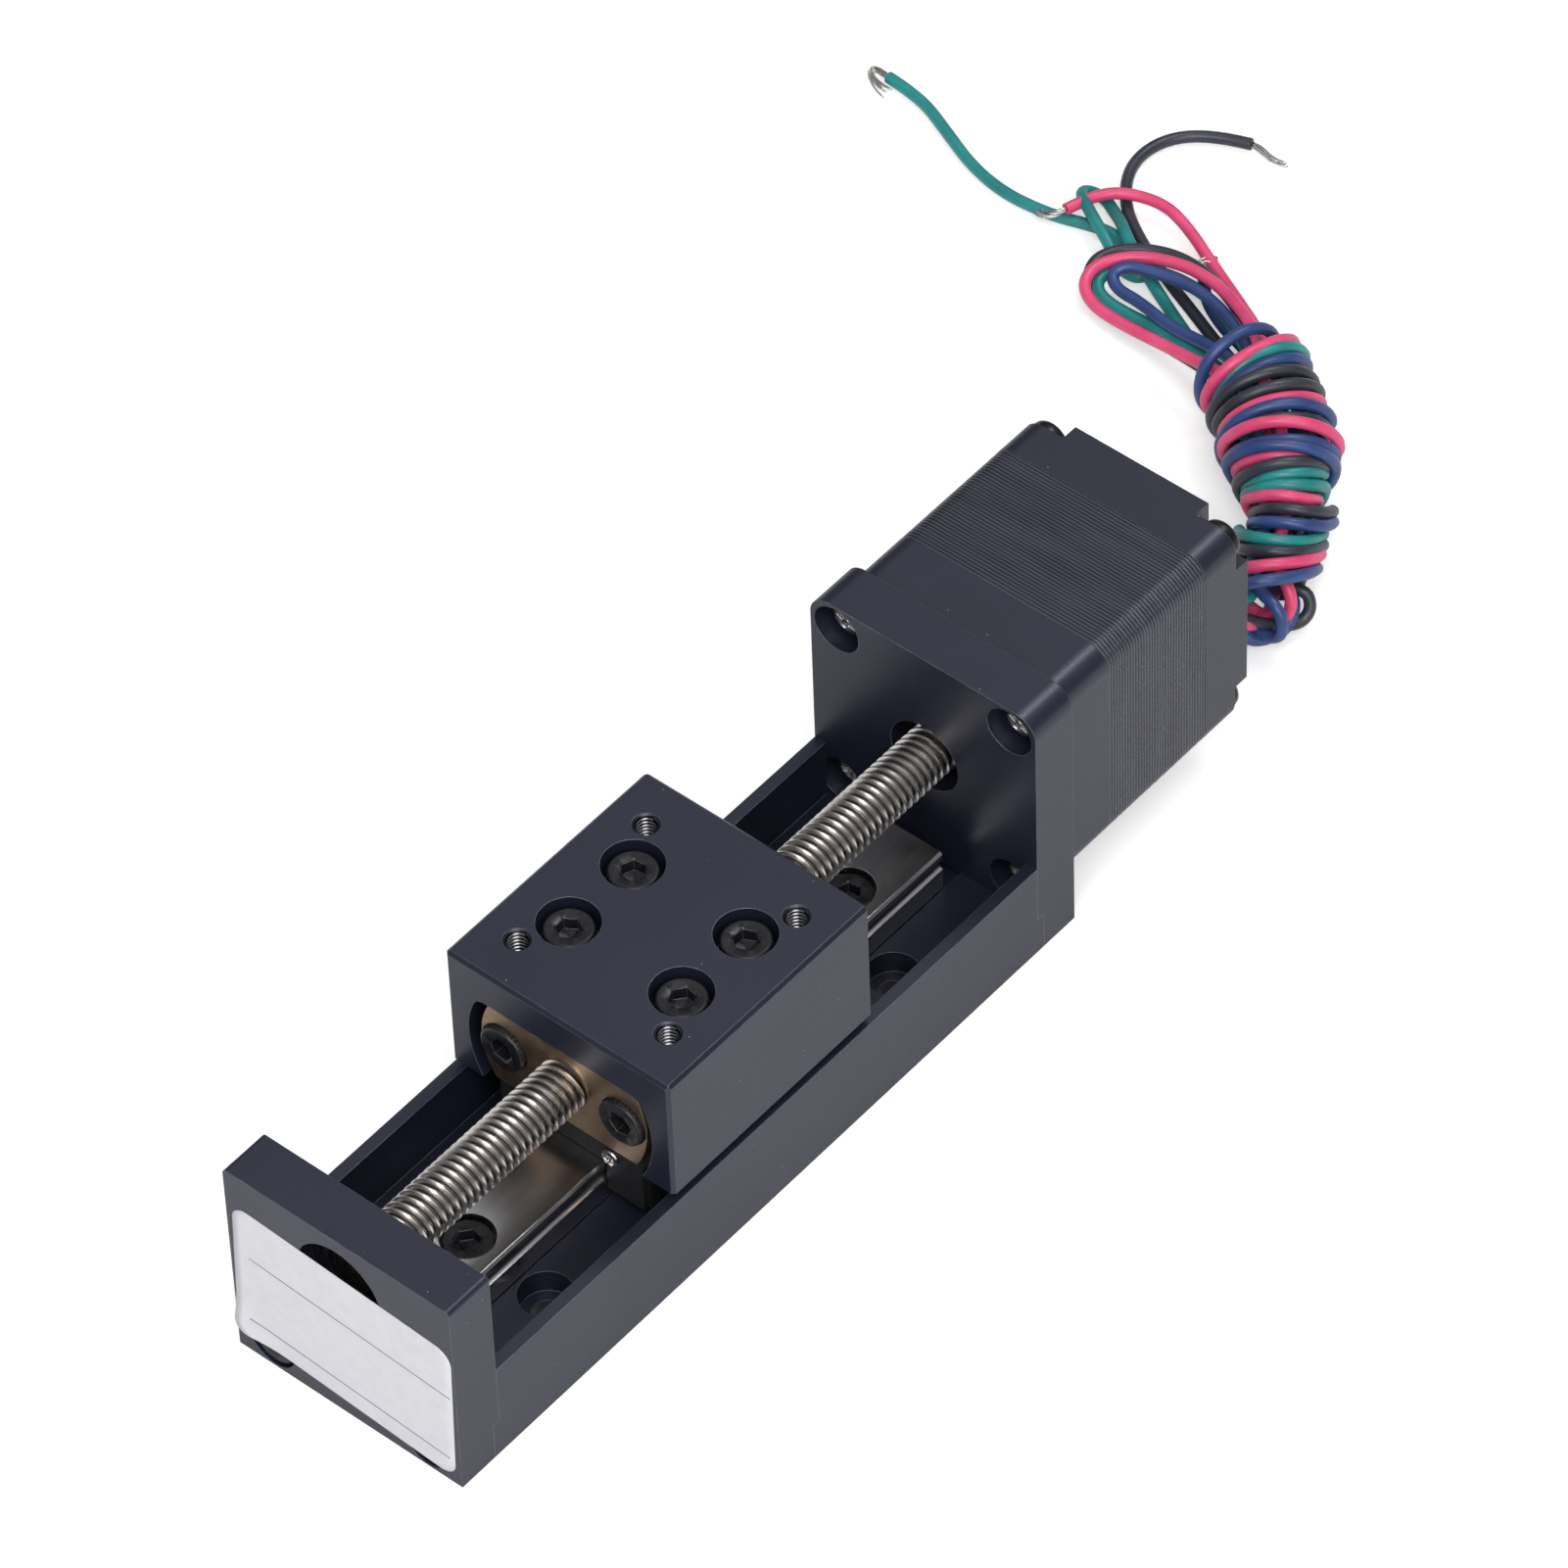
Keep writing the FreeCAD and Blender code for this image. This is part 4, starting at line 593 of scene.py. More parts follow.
def cross_screw(place, axis, length, turn, head, top, shank, bar, width, depth):
    """Pan-head screw: the head's height falls off towards its rim as the root of one less
    the fourth power of the share of its radius, and it dips inside a cross of two bars,
    deepest at the middle."""
    rings, slope = 26, 0.10 * mm
    angle = np.arange(SCREW_SIDES) * FULL / SCREW_SIDES
    even = np.ones(SCREW_SIDES)

    def bar_depth(long_way, short_way):
        inside = np.clip((bar / 2 - np.abs(long_way)) / slope, 0, 1)
        return inside * np.clip((width / 2 - np.abs(short_way)) / slope + 0.5, 0, 1)

    rows = [(0 * even, -length), (shank * even, -length), (shank * even, 0),
            ((head - 0.05 * mm) * even, 0)]
    for share in np.linspace(1, 0, rings):
        radius = head * share * even
        crown = top * (0.45 + 0.55 * math.sqrt(max(1 - share ** 4, 0)))
        x, y = radius * np.cos(angle), radius * np.sin(angle)
        cut = np.maximum(bar_depth(x, y), bar_depth(y, x)) * depth * (1 - 0.35 * radius / bar)
        rows.append((radius, crown - cut))
    return rows_about(rows, place, axis, turn), True


def corners_of(node, inset, plane):
    """Centres of the heads at the corners of a node's box, the inset away from its sides."""
    start, stop = low(node) + inset, high(node) - inset
    first, second = plane
    return [(a, b) for a in (start[first], stop[first]) for b in (start[second], stop[second])]


def seat_of(node, way, head_height):
    """Where the heads of screws along X sit, how far the screws reach in from there, and
    the height of the screws' middles; their heads look the given way."""
    top, tip = (low(node)[0], high(node)[0]) if way < 0 else (high(node)[0], low(node)[0])
    seat = top - way * head_height
    return seat, abs(tip - seat), (low(node)[2] + high(node)[2]) / 2


def screw_piece(name, grids, material, body, slot):
    """All the screws of one CAD node."""
    piece = make_piece(name + "_turned", grids)
    sharpen(piece, 28)
    finish(piece, material)
    belongs(piece, body, slot, name)


def make_socket_screws():
    """Black socket screws of the carriage, the rail, the two end plates and the nut."""
    rail = low("rail_screws")[0] + HEAD, high("rail_screws")[0] - HEAD
    for name, spots, body in (
            ("carriage_screws", corners_of("carriage_screws", HEAD, (0, 1)), "carriage_unit"),
            ("rail_screws", [(x, 0) for x in np.linspace(*rail, 4)], "root")):
        seat = high(name)[2] - HEAD_HEIGHT
        length = seat - low(name)[2]
        grids = [socket_screw((x, y, seat), (0, 0, 1), length, turn)
                 for (x, y), turn in zip(spots, TURNS)]
        screw_piece(name, grids, BLACK_OXIDE, body, "black_screw")

    for name, way, body, head, top in (
            ("front_plate_screws", -1, "root", HEAD, HEAD_HEIGHT),
            ("motor_plate_screws", 1, "root", HEAD, HEAD_HEIGHT),
            ("nut_screws", -1, "carriage_unit", NUT_HEAD, NUT_HEAD_HEIGHT)):
        seat, length, level = seat_of(name, way, top)
        grids = [socket_screw((seat, side, level), (way, 0, 0), length, turn, head, top)
                 for side, turn in ((low(name)[1] + head, 0.2), (high(name)[1] - head, 0.9))]
        screw_piece(name, grids, BLACK_OXIDE, body, "black_screw")


def make_cross_screws():
    """Cross-head screws: four hold the motor, four tie it together, and two hold each end
    cap of the guide block."""
    big = {"head": 2.3 * mm, "top": 1.7 * mm, "shank": 1.2 * mm,
           "bar": 2.6 * mm, "width": 0.6 * mm, "depth": 0.95 * mm}
    for name, way, material, slot in (("motor_screws", -1, ZINC, "bright_screw"),
                                      ("motor_tie_screws", 1, BLACK_OXIDE, "black_screw")):
        seat, length, _ = seat_of(name, way, big["top"])
        grids = [cross_screw((seat, y, z), (way, 0, 0), length, turn, **big)
                 for (y, z), turn in zip(corners_of(name, big["head"], (1, 2)), TURNS)]
        screw_piece(name, grids, material, "root", slot)
    small = {"head": 1.1 * mm, "top": 0.6 * mm, "shank": 0.65 * mm,
             "bar": 1.4 * mm, "width": 0.36 * mm, "depth": 0.35 * mm}
    for name, way in (("block_front_screws", -1), ("block_rear_screws", 1)):
        seat, length, level = seat_of(name, way, small["top"])
        spread = high(name)[1] - small["head"]
        grids = [cross_screw((seat, side * spread, level), (way, 0, 0), length, 0.4, **small)
                 for side in (-1, 1)]
        screw_piece(name, grids, ZINC, "carriage_unit", "bright_screw")


def make_carriage_threads():
    """Thread cut in each of the carriage's four tapped holes, just inside the wall: a point
    at share p of the pitch lies at depth pitch * (turn + p + angle / full turn)."""
    pitch, root, crest = 0.5 * mm, 1.245 * mm, 1.04 * mm
    turns, sides = 13, 40
    first_depth = 0.05 * mm
    shares = np.array([0.0, 0.3, 0.58, 0.72])
    radii = np.array([root, root, crest, crest])
    drop = (pitch * (np.arange(turns)[:, None] + shares)).reshape(-1, 1)
    radius = np.tile(radii, turns).reshape(-1, 1)
    angle = np.linspace(0, FULL, sides + 1)
    grids = []
    for x in (-TAPPED_SPREAD, TAPPED_SPREAD):
        for y in (-TAPPED_SPREAD, TAPPED_SPREAD):
            grid = np.stack([CARRIAGE_MIDDLE + x + radius * np.cos(angle),
                             y + radius * np.sin(angle),
                             CARRIAGE_TOP - first_depth - drop - pitch * angle / FULL], axis=-1)
            grids.append((grid, False))
    piece = make_piece("tapped_hole_threads", grids)
    sharpen(piece, 30)
    finish(piece, TAPPED_ALUMINIUM)
    belongs(piece, "carriage_unit", "bright_screw")


# Motor

STACK_ROUNDING = 2.6 * mm
SHEET_UNEVEN = 0.008
SHEET_SHARES = np.array([0.08, 0.22, 0.42, 0.58, 0.78, 0.92])
SHEET_DIP = np.array([0.07, 0.022, 0.0, 0.0, 0.022, 0.07]) * mm


def rounded_square(side, radius, per_corner=9, per_side=4):
    """Points and outward directions round a square with rounded corners: each corner is a
    quarter circle about a centre one radius in from both sides."""
    points, ways = [], []
    for corner in range(4):
        turn = corner * FULL / 4
        centre = (side / 2 - radius) * np.array([math.cos(turn) - math.sin(turn),
                                                 math.sin(turn) + math.cos(turn)])
        angle = turn + np.linspace(0, FULL / 4, per_corner)
        way = np.stack([np.cos(angle), np.sin(angle)], axis=1)
        points.append(centre + radius * way)
        ways.append(way)
        flat = way[-1]
        along = np.array([-flat[1], flat[0]])
        steps = np.linspace(0, side - 2 * radius, per_side + 2)[1:-1, None]
        points.append(points[-1][-1] + steps * along)
        ways.append(np.tile(flat, (per_side, 1)))
    return np.concatenate(points), np.concatenate(ways)


def make_sheet_stack():
    """Stack of thin sheets: each one stands out by its own small random amount, and dips
    at its edges where it meets the next."""
    start, stop = low("stator_stack")[0], high("stator_stack")[0]
    side = high("stator_stack")[1] - low("stator_stack")[1]
    points, ways = rounded_square(side, STACK_ROUNDING)
    thick = (stop - start) / SHEET_COUNT
    proud = np.random.default_rng(3).uniform(-SHEET_UNEVEN, SHEET_UNEVEN, SHEET_COUNT) * mm
    x = start + thick * (np.arange(SHEET_COUNT)[:, None] + SHEET_SHARES)
    out = proud[:, None] - SHEET_DIP
    x = np.concatenate([[start], x.ravel(), [stop]])
    out = np.concatenate([[-SHEET_DIP[0]], out.ravel(), [-SHEET_DIP[0]]])
    flat = points[None] + out[:, None, None] * ways[None]
    along = np.broadcast_to(x[:, None, None], flat.shape[:2] + (1,))
    shell = np.concatenate([along, flat], axis=2)
    shell[..., 2] += AXIS_HEIGHT
    middle = np.array([0, 0, AXIS_HEIGHT])
    front = np.stack([np.broadcast_to(middle + [start, 0, 0], shell[0].shape), shell[0]])
    back = np.stack([shell[-1], np.broadcast_to(middle + [stop, 0, 0], shell[0].shape)])
    piece = make_piece("sheet_stack", [(shell, True), (front, True), (back, True)])
    sharpen(piece, 60)
    finish(piece, STACK_BLACK)
    belongs(piece, "root", "lamination_steel", "stator_stack")


# Sticker

STICKER_CORNERS = {"top_left": (14.1, 22.6), "top_right": (-14.8, 20.7),
                   "low_right": (-14.2, 0.9), "low_left": (14.95, 3.0)}
STICKER_WIDTH, STICKER_HEIGHT = 28.6, 20.0
STICKER_ROUNDING = 2.0
PAPER_THICKNESS = 0.045 * mm
PAPER_GAP = 0.05 * mm
CORNER_LIFT = 0.9 * mm
LIFT_WIDTH, LIFT_HEIGHT = 7, 6


def make_sticker():
    """Sheet between four corners with rounded ends: a point at shares (u, v) of the width
    and height is the mean of the corners weighted by the shares, and the low left corner
    lifts off the plate as the square of its nearness."""
    corner = {name: np.array(spot) * mm for name, spot in STICKER_CORNERS.items()}
    width, height, radius = STICKER_WIDTH, STICKER_HEIGHT, STICKER_ROUNDING
    rounding = radius * (1 - np.cos(np.linspace(0, FULL / 4, 7))) / height
    v = np.unique(np.concatenate([rounding, np.linspace(radius / height, 1 - radius / height, 15),
                                  1 - rounding]).round(6))
    depth = np.clip(radius - np.minimum(v, 1 - v) * height, 0, radius)
    inset = (radius - np.sqrt(radius ** 2 - depth ** 2)) / width
    share = np.linspace(0, 1, 29)
    u = inset[:, None] + (1 - 2 * inset[:, None]) * share
    v = v[:, None] + 0 * share
    weights = {"top_right": u * v, "top_left": (1 - u) * v,
               "low_right": u * (1 - v), "low_left": (1 - u) * (1 - v)}
    flat = sum(weight[..., None] * corner[name] for name, weight in weights.items())
    near = np.clip(1 - (u * width / LIFT_WIDTH + v * height / LIFT_HEIGHT), 0, 1) ** 2
    lift = PAPER_GAP + CORNER_LIFT * near
    face = np.concatenate([(FRONT_FACE - lift)[..., None], flat], axis=2)
    back = face + [PAPER_THICKNESS, 0, 0]
    edge = np.stack([rim_of(face), rim_of(back)], axis=1)
    piece = make_piece("front_sticker", [(face, False), (back, False), (edge, False)], weld=4e-6)
    map_sticker(piece, corner)
    finish(piece, PAPER)
    belongs(piece, "root", "label_paper", "label")


def rim_of(grid):
    """Points round the rim of a grid: first row, last column, last row back, first column
    back."""
    return np.concatenate([grid[0], grid[:, -1], grid[-1, ::-1], grid[::-1, 0]])


def map_sticker(piece, corner):
    """UV map of the sticker: u runs along its top edge from the left, and v square to it
    from the bottom edge up."""
    top = corner["top_right"] - corner["top_left"]
    along = top / np.linalg.norm(top)
    square = np.array([-along[1], along[0]])
    if square[1] < 0:
        square = -square
    mesh = piece.data
    spots = np.zeros(len(mesh.vertices) * 3)
    mesh.vertices.foreach_get("co", spots)
    flat = spots.reshape(-1, 3)[:, 1:] - corner["low_left"]
    u = flat @ along / abs(top[0])
    v = flat @ square / (STICKER_HEIGHT * mm)
    owner = np.zeros(len(mesh.loops), int)
    mesh.loops.foreach_get("vertex_index", owner)
    layer = mesh.uv_layers.new(name="UVMap")
    layer.data.foreach_set("uv", np.stack([u, v], axis=1)[owner].astype(np.float32).ravel())


# Flying leads: places are millimetres back from the motor's rear face, from the middle
# plane and up from the table

WIRE = 1.4

# Way out of the motor that the four leads share, and how far each one lies from its middle
LEAD_START = [(0.0, 0.0, 11.4), (2.8, 0.0, 11.4), (5.8, -1.9, 9.6)]
LEAD_SPREAD = 0.9
SIDES = {"green": (-1, 1), "black": (1, 1), "red": (-1, -1), "blue": (1, -1)}

# Way of each lead from there to the hank
LEAD_BENDS = {
    "blue": [(8.8, -4.0, 6.4), (10.0, -5.6, 3.9), (11.3, -6.0, 1.6), (13.7, -7.2, 1.2),
             (15.7, -7.9, 2.2), (17.1, -7.2, 3.8)],
    "black": [(8.9, -3.7, 7.6), (10.7, -4.8, 5.0), (13.6, -6.6, 2.6), (16.5, -8.3, 1.4),
              (18.4, -8.6, 2.6), (18.9, -7.2, 4.6)],
    "red": [(8.6, -4.6, 6.6), (10.4, -5.4, 4.4), (12.8, -5.6, 2.9), (15.2, -5.2, 2.4)],
    "green": [(8.9, -3.5, 7.2), (11.6, -3.8, 5.8), (14.4, -3.9, 5.0)],
}

# Middle line of the hank from its top, and its radius, which is also its middle's height
HANK = np.array([(39.9, 17.5, 5.4), (35.3, 9.7, 5.9), (31.1, 5.3, 6.3), (25.2, -0.1, 4.9),
                 (18.7, -3.4, 4.9), (13.0, -6.2, 4.8)])
HANK_STEPS = np.linalg.norm(np.diff(HANK[:, :2], axis=0), axis=1)
HANK_ALONG = np.concatenate([[0], np.cumsum(HANK_STEPS)])
HANK_LENGTH = HANK_ALONG[-1]

# Loops at the hank's top, from their left limb over the tip to their right limb
LOOPS = {
    "red": [(36.4, 17.4, 7.4), (36.9, 22.0, 6.2), (37.9, 28.4, 4.5), (38.2, 33.6, 3.8),
            (38.5, 37.8, 3.7), (40.1, 40.6, 4.0), (43.1, 41.2, 4.4), (46.7, 38.9, 4.4),
            (48.7, 34.6, 4.6), (49.0, 30.2, 4.8), (47.2, 25.0, 5.8), (43.6, 18.6, 7.0)],
    "blue": [(38.9, 17.0, 6.7), (40.2, 22.6, 5.6), (40.6, 28.5, 4.5), (42.0, 34.1, 3.9),
             (42.2, 37.4, 3.6), (43.3, 39.1, 4.1), (45.1, 38.1, 4.7), (46.1, 34.9, 4.6),
             (46.9, 31.2, 4.6), (46.6, 27.2, 4.6), (44.4, 21.9, 5.1), (41.4, 16.6, 5.2)],
    "green": [(38.7, 17.0, 4.6), (39.7, 23.4, 3.8), (40.9, 30.4, 2.8), (40.8, 35.8, 2.4),
              (41.0, 38.6, 2.6), (42.1, 40.2, 2.9), (44.0, 40.3, 3.1), (46.4, 38.4, 3.1),
              (48.1, 34.4, 3.1), (48.1, 29.8, 3.1), (46.4, 25.2, 3.3), (42.5, 18.2, 3.6)],
    "black": [(38.0, 17.2, 3.4), (39.4, 23.2, 2.6), (40.0, 29.0, 2.0), (40.1, 34.2, 1.6),
              (40.6, 38.2, 1.8), (41.9, 41.4, 2.4), (44.4, 42.6, 3.0), (47.2, 41.8, 3.0),
              (49.6, 39.2, 3.0), (51.0, 35.4, 3.0), (50.6, 30.6, 3.0), (48.2, 25.0, 3.4),
              (43.9, 17.6, 4.2)],
}

# Loose ends, from the hank's top to where the insulation stops. The green one makes a
# hairpin above the loops before it runs out.
TAILS = {
    "green": [(42.2, 12.8, 2.0), (39.9, 14.2, 0.8), (39.6, 17.8, 1.0), (41.1, 23.2, 0.8),
              (43.8, 29.0, 0.8), (45.9, 33.4, 0.8), (47.4, 37.1, 1.6), (48.4, 39.6, 2.6),
              (50.0, 42.2, 2.6), (52.2, 44.8, 1.7), (53.6, 46.9, 0.9), (54.6, 48.8, 0.8),
              (54.4, 50.8, 1.2), (52.6, 51.0, 2.3), (51.1, 48.8, 2.6), (49.8, 46.4, 2.5),
              (48.8, 44.2, 2.1), (47.9, 42.4, 1.4), (47.0, 40.6, 0.8), (47.1, 38.2, 0.8),
              (49.2, 37.9, 0.8), (49.9, 40.4, 0.8), (50.6, 42.8, 0.8), (50.9, 45.6, 0.8),
              (50.2, 48.4, 0.8), (49.3, 51.0, 0.8), (48.7, 54.0, 0.8), (48.4, 58.4, 0.8),
              (49.4, 63.8, 0.8), (52.0, 69.8, 0.8), (54.4, 75.4, 0.8), (54.7, 80.4, 0.8)],
    "black": [(40.8, 15.4, 1.7), (44.3, 24.4, 0.8), (46.6, 29.8, 0.8), (49.1, 36.0, 0.8),
              (51.9, 41.8, 0.8), (55.2, 46.8, 0.8), (60.6, 50.4, 0.8), (66.2, 49.9, 0.8),
              (70.1, 46.0, 0.8), (71.6, 41.6, 0.8)],
    "red": [(45.3, 13.6, 2.6), (44.8, 16.0, 1.2), (47.1, 19.8, 1.4), (50.6, 26.2, 0.9),
            (53.4, 32.4, 1.1), (55.9, 38.2, 2.0), (57.0, 42.6, 2.3), (55.4, 47.4, 2.4),
            (52.4, 49.6, 2.4), (49.4, 50.4, 2.4)],
    "blue": [(45.4, 14.4, 2.6), (43.8, 17.2, 1.0), (45.3, 21.6, 1.4), (47.2, 26.9, 0.8),
             (49.4, 30.8, 0.8), (51.6, 32.6, 0.8)],
}

# Middle lines of the bare strands, on from the loose ends
STRANDS = {
    "green": [(54.7, 80.4, 0.8), (54.9, 82.6, 0.8), (54.0, 82.6, 0.6), (53.1, 80.6, 0.5),
              (52.8, 78.6, 0.5)],
    "black": [(71.6, 41.6, 0.8), (71.6, 40.2, 0.8), (71.2, 38.6, 0.7), (71.4, 37.2, 0.6),
              (72.0, 36.2, 0.5)],
    "red": [(49.4, 50.4, 2.4), (47.9, 51.0, 2.2), (47.4, 52.3, 1.9), (47.9, 53.4, 1.4)],
    "blue": [(51.6, 32.6, 0.8), (52.2, 33.6, 1.0), (52.8, 34.0, 1.5), (53.7, 33.4, 1.6),
             (54.4, 32.6, 1.0)],
}

# Visible turns of the winding: the wire's colour, its place in millimetres from the
# hank's top at its left limb, over the middle and at its right limb, how far it stands
# proud of the winding, how far it lies to the right, and how much wider it is
WOUND_ROWS = [
    ("blue", 1.4, -0.4, -2.5, 0.4, -1.3, -0.6), ("red", 3.2, 2.7, -1.5, 0.4, -0.4, 0.3),
    ("green", 4.0, 3.1, 1.0, 0.0, 0.4, 0.4), ("blue", 4.8, 4.9, 2.4, 0.0, 0.2, 0.5),
    ("black", 5.6, 6.4, 5.7, 0.2, -0.2, 0.8), ("black", 7.7, 8.8, 6.9, 0.1, -0.2, 0.8),
    ("red", 9.9, 10.6, 8.2, -0.3, -0.3, 0.8), ("blue", 12.5, 12.3, 10.6, 0.4, -0.3, 0.5),
    ("black", 12.0, 13.8, 11.6, -0.4, -0.3, 0.5), ("red", 12.6, 15.5, 14.3, 0.8, -0.2, 0.0),
    ("blue", 14.7, 17.0, 15.2, 0.0, -0.2, 0.2), ("blue", 15.1, 18.1, 16.6, 0.7, -0.3, -0.3),
    ("red", 15.9, 18.4, 16.4, -0.5, -0.6, -0.3), ("black", 18.0, 19.8, 16.7, 0.3, -0.6, -0.7),
    ("green", 18.4, 20.7, 17.3, -0.3, -0.2, -0.6), ("green", 19.3, 22.1, 18.9, 0.0, -0.2, -0.6),
    ("red", 20.1, 23.4, 20.5, 0.0, -0.6, -0.8), ("black", 22.1, 25.5, 21.6, 0.2, 0.5, -0.3),
    ("blue", 24.0, 27.6, 22.8, 0.2, 0.5, -0.1), ("green", 24.9, 30.4, 24.2, 0.2, -0.5, 0.1),
    ("black", 27.6, 31.8, 25.5, 0.0, 0.0, 0.0), ("red", 31.7, 33.8, 26.9, 0.1, 0.0, 0.0),
    ("blue", 34.7, 36.1, 29.0, 0.1, 0.0, 0.0),
]

# Strands inside the hank: their distance from its middle as a share of its radius, how
# many places there are round it, where they start below its top, and where the strands
# that go up pass
CORE_SHARE = 0.56
CORE_PLACES = 8
CORE_TOP = 4
UPWARD_STATIONS = (32, 24, 17, 10, CORE_TOP)

# A smooth curve whose points lie every 30 degrees runs at this share of their radius
CURVE_SHARE = 0.966

# How far the hank's top turns flare out, and over what length
FLARE, FLARE_LENGTH = 1.2, 6

UP = np.array([0, 0, 1.0])


def hank_section(share):
    """Middle and radius of the hank at a share of its length from the top."""
    return np.array([np.interp(share, HANK_ALONG / HANK_LENGTH, HANK[:, k]) for k in range(3)])


def hank_frame(station):
    """Middle, radius and level sideways direction of the hank at a station, which is the
    length along it from its top. Beyond its ends the hank goes on in a straight line."""
    inner = min(max(station / HANK_LENGTH, 0), 1)
    middle = hank_section(inner)
    near = 0.08
    way = (hank_section(min(inner + near, 1)) - hank_section(max(inner - near, 0)))[:2]
    way = way / np.linalg.norm(way)
    radius = middle[2]
    middle[:2] += (station - inner * HANK_LENGTH) * way
    return middle, radius, np.array([-way[1], way[0], 0.0])


def core_strand(place, stations):
    """A strand inside the hank, at one of eight places round its middle."""
    angle = place * FULL / CORE_PLACES
    found = []
    for station in stations:
        middle, radius, side = hank_frame(station)
        outward = math.cos(angle) * side + math.sin(angle) * UP
        found.append(middle + CORE_SHARE * radius * outward)
    return found


def wound_point(station, degrees, proud, aside, wider):
    """Middle of a wire laid round the hank: at angle a it lies at
    (reach + wider) * cos a sideways + reach * sin a up from the hank's middle, moved
    aside, and never in the table. The turns nearest the top flare out on the right, where
    the loops push them apart."""
    middle, radius, side = hank_frame(station)
    angle = math.radians(degrees)
    flare = FLARE * max(math.cos(angle), 0) * min(max(1 - station / FLARE_LENGTH, 0), 1)
    reach = (radius - WIRE / 2) / CURVE_SHARE + proud + flare
    spot = (middle + (aside + (reach + wider) * math.cos(angle)) * side
            + reach * math.sin(angle) * UP)
    spot[2] = max(spot[2], WIRE / 2 + 0.05)
    return spot


def wound_turns(colour):
    """Points round the hank, twelve a turn, from its bottom to its top. Over the top the
    place along the hank is the curve of second degree through a turn's three stations, and
    underneath it goes evenly to the next turn, sunk into the winding where that is far."""
    rows = [np.array(row[1:]) for row in WOUND_ROWS if row[0] == colour][::-1]
    found = []
    for number, row in enumerate(rows):
        left, top, right = row[:3]
        for degrees in range(180, -1, -30):
            u = 1 - degrees / 90
            station = top + u * (right - left) / 2 + u * u * ((right + left) / 2 - top)
            found.append(wound_point(station, degrees, *row[3:]))
        if number + 1 < len(rows):
            after = rows[number + 1]
            sunk = min(max(abs(right - after[0]) - 2, 0) * 0.5, 1.4)
            for degrees in range(-30, -151, -30):
                part = -degrees / 180
                proud, aside, wider = row[3:] + (after - row)[3:] * part
                found.append(wound_point(right + (after[0] - right) * part, degrees,
                                         proud - sunk * math.sin(math.pi * part), aside, wider))
    return found


def way_in(place, station):
    """Way of a strand from inside the hank to its first turn: it swings down and round
    underneath to the left while it goes out to the winding."""
    start, stop = place * 360 / CORE_PLACES, -145
    depth = 1.6
    return [wound_point(station + ahead, start + (stop - start) * part, depth * (part - 1), 0, 0)
            for part, ahead in ((0.33, 3.4), (0.67, 3.4), (1.0, 1.6))]


def wire_points(colour):
    """Whole way of one lead: out of the motor, up inside the hank, round the loop at its
    top, back down inside, round the outside from the bottom up, and out along its tail."""
    side, rise = SIDES[colour]
    offset = np.array([0, side * LEAD_SPREAD, rise * LEAD_SPREAD])
    lead = [*(np.array(LEAD_START) + offset), *LEAD_BENDS[colour]]
    order = list(SIDES).index(colour)
    lowest = [row[1] for row in WOUND_ROWS if row[0] == colour][-1]
    up = core_strand(order + CORE_PLACES / 2, UPWARD_STATIONS)
    down = core_strand(order, np.linspace(CORE_TOP, lowest, 5))
    return [*lead, *up, *LOOPS[colour], *down, *way_in(order, lowest), *wound_turns(colour),
            *TAILS[colour]]


def to_frame(points):
    """Places from the motor's rear face in millimetres as places in the frame."""
    return np.array(points) * mm + [MOTOR_END, 0, 0]


def lay_wire(name, points, diameter):
    """Smooth curve with the points as its control points and a round section."""
    curve = bpy.data.curves.new(name, "CURVE")
    curve.dimensions = "3D"
    spline = curve.splines.new("NURBS")
    spline.points.add(len(points) - 1)
    four = np.concatenate([points, np.ones((len(points), 1))], axis=1)
    spline.points.foreach_set("co", four.astype(np.float32).ravel())
    spline.order_u = 3
    spline.use_endpoint_u = True
    spline.resolution_u = 6
    curve.bevel_depth = diameter / 2
    curve.bevel_resolution = 4
    curve.use_fill_caps = True
    return add_object(name, curve)


def smooth_line(points, count):
    """Even steps along a soft curve: the corners are cut twice, a quarter in from each
    end of every run."""
    for _ in range(2):
        first, second = points[:-1], points[1:]
        cut = np.stack([0.75 * first + 0.25 * second, 0.25 * first + 0.75 * second], axis=1)
        points = np.concatenate([points[:1], cut.reshape(-1, 3), points[-1:]])
    along = np.concatenate([[0], np.cumsum(np.linalg.norm(np.diff(points, axis=0), axis=1))])
    steps = np.linspace(0, along[-1], count)
    return np.stack([np.interp(steps, along, points[:, k]) for k in range(3)], axis=1)


STRAND_RADIUS = 0.12 * mm
STRAND_CIRCLE = 0.27 * mm
STRAND_TWIST = 3.0


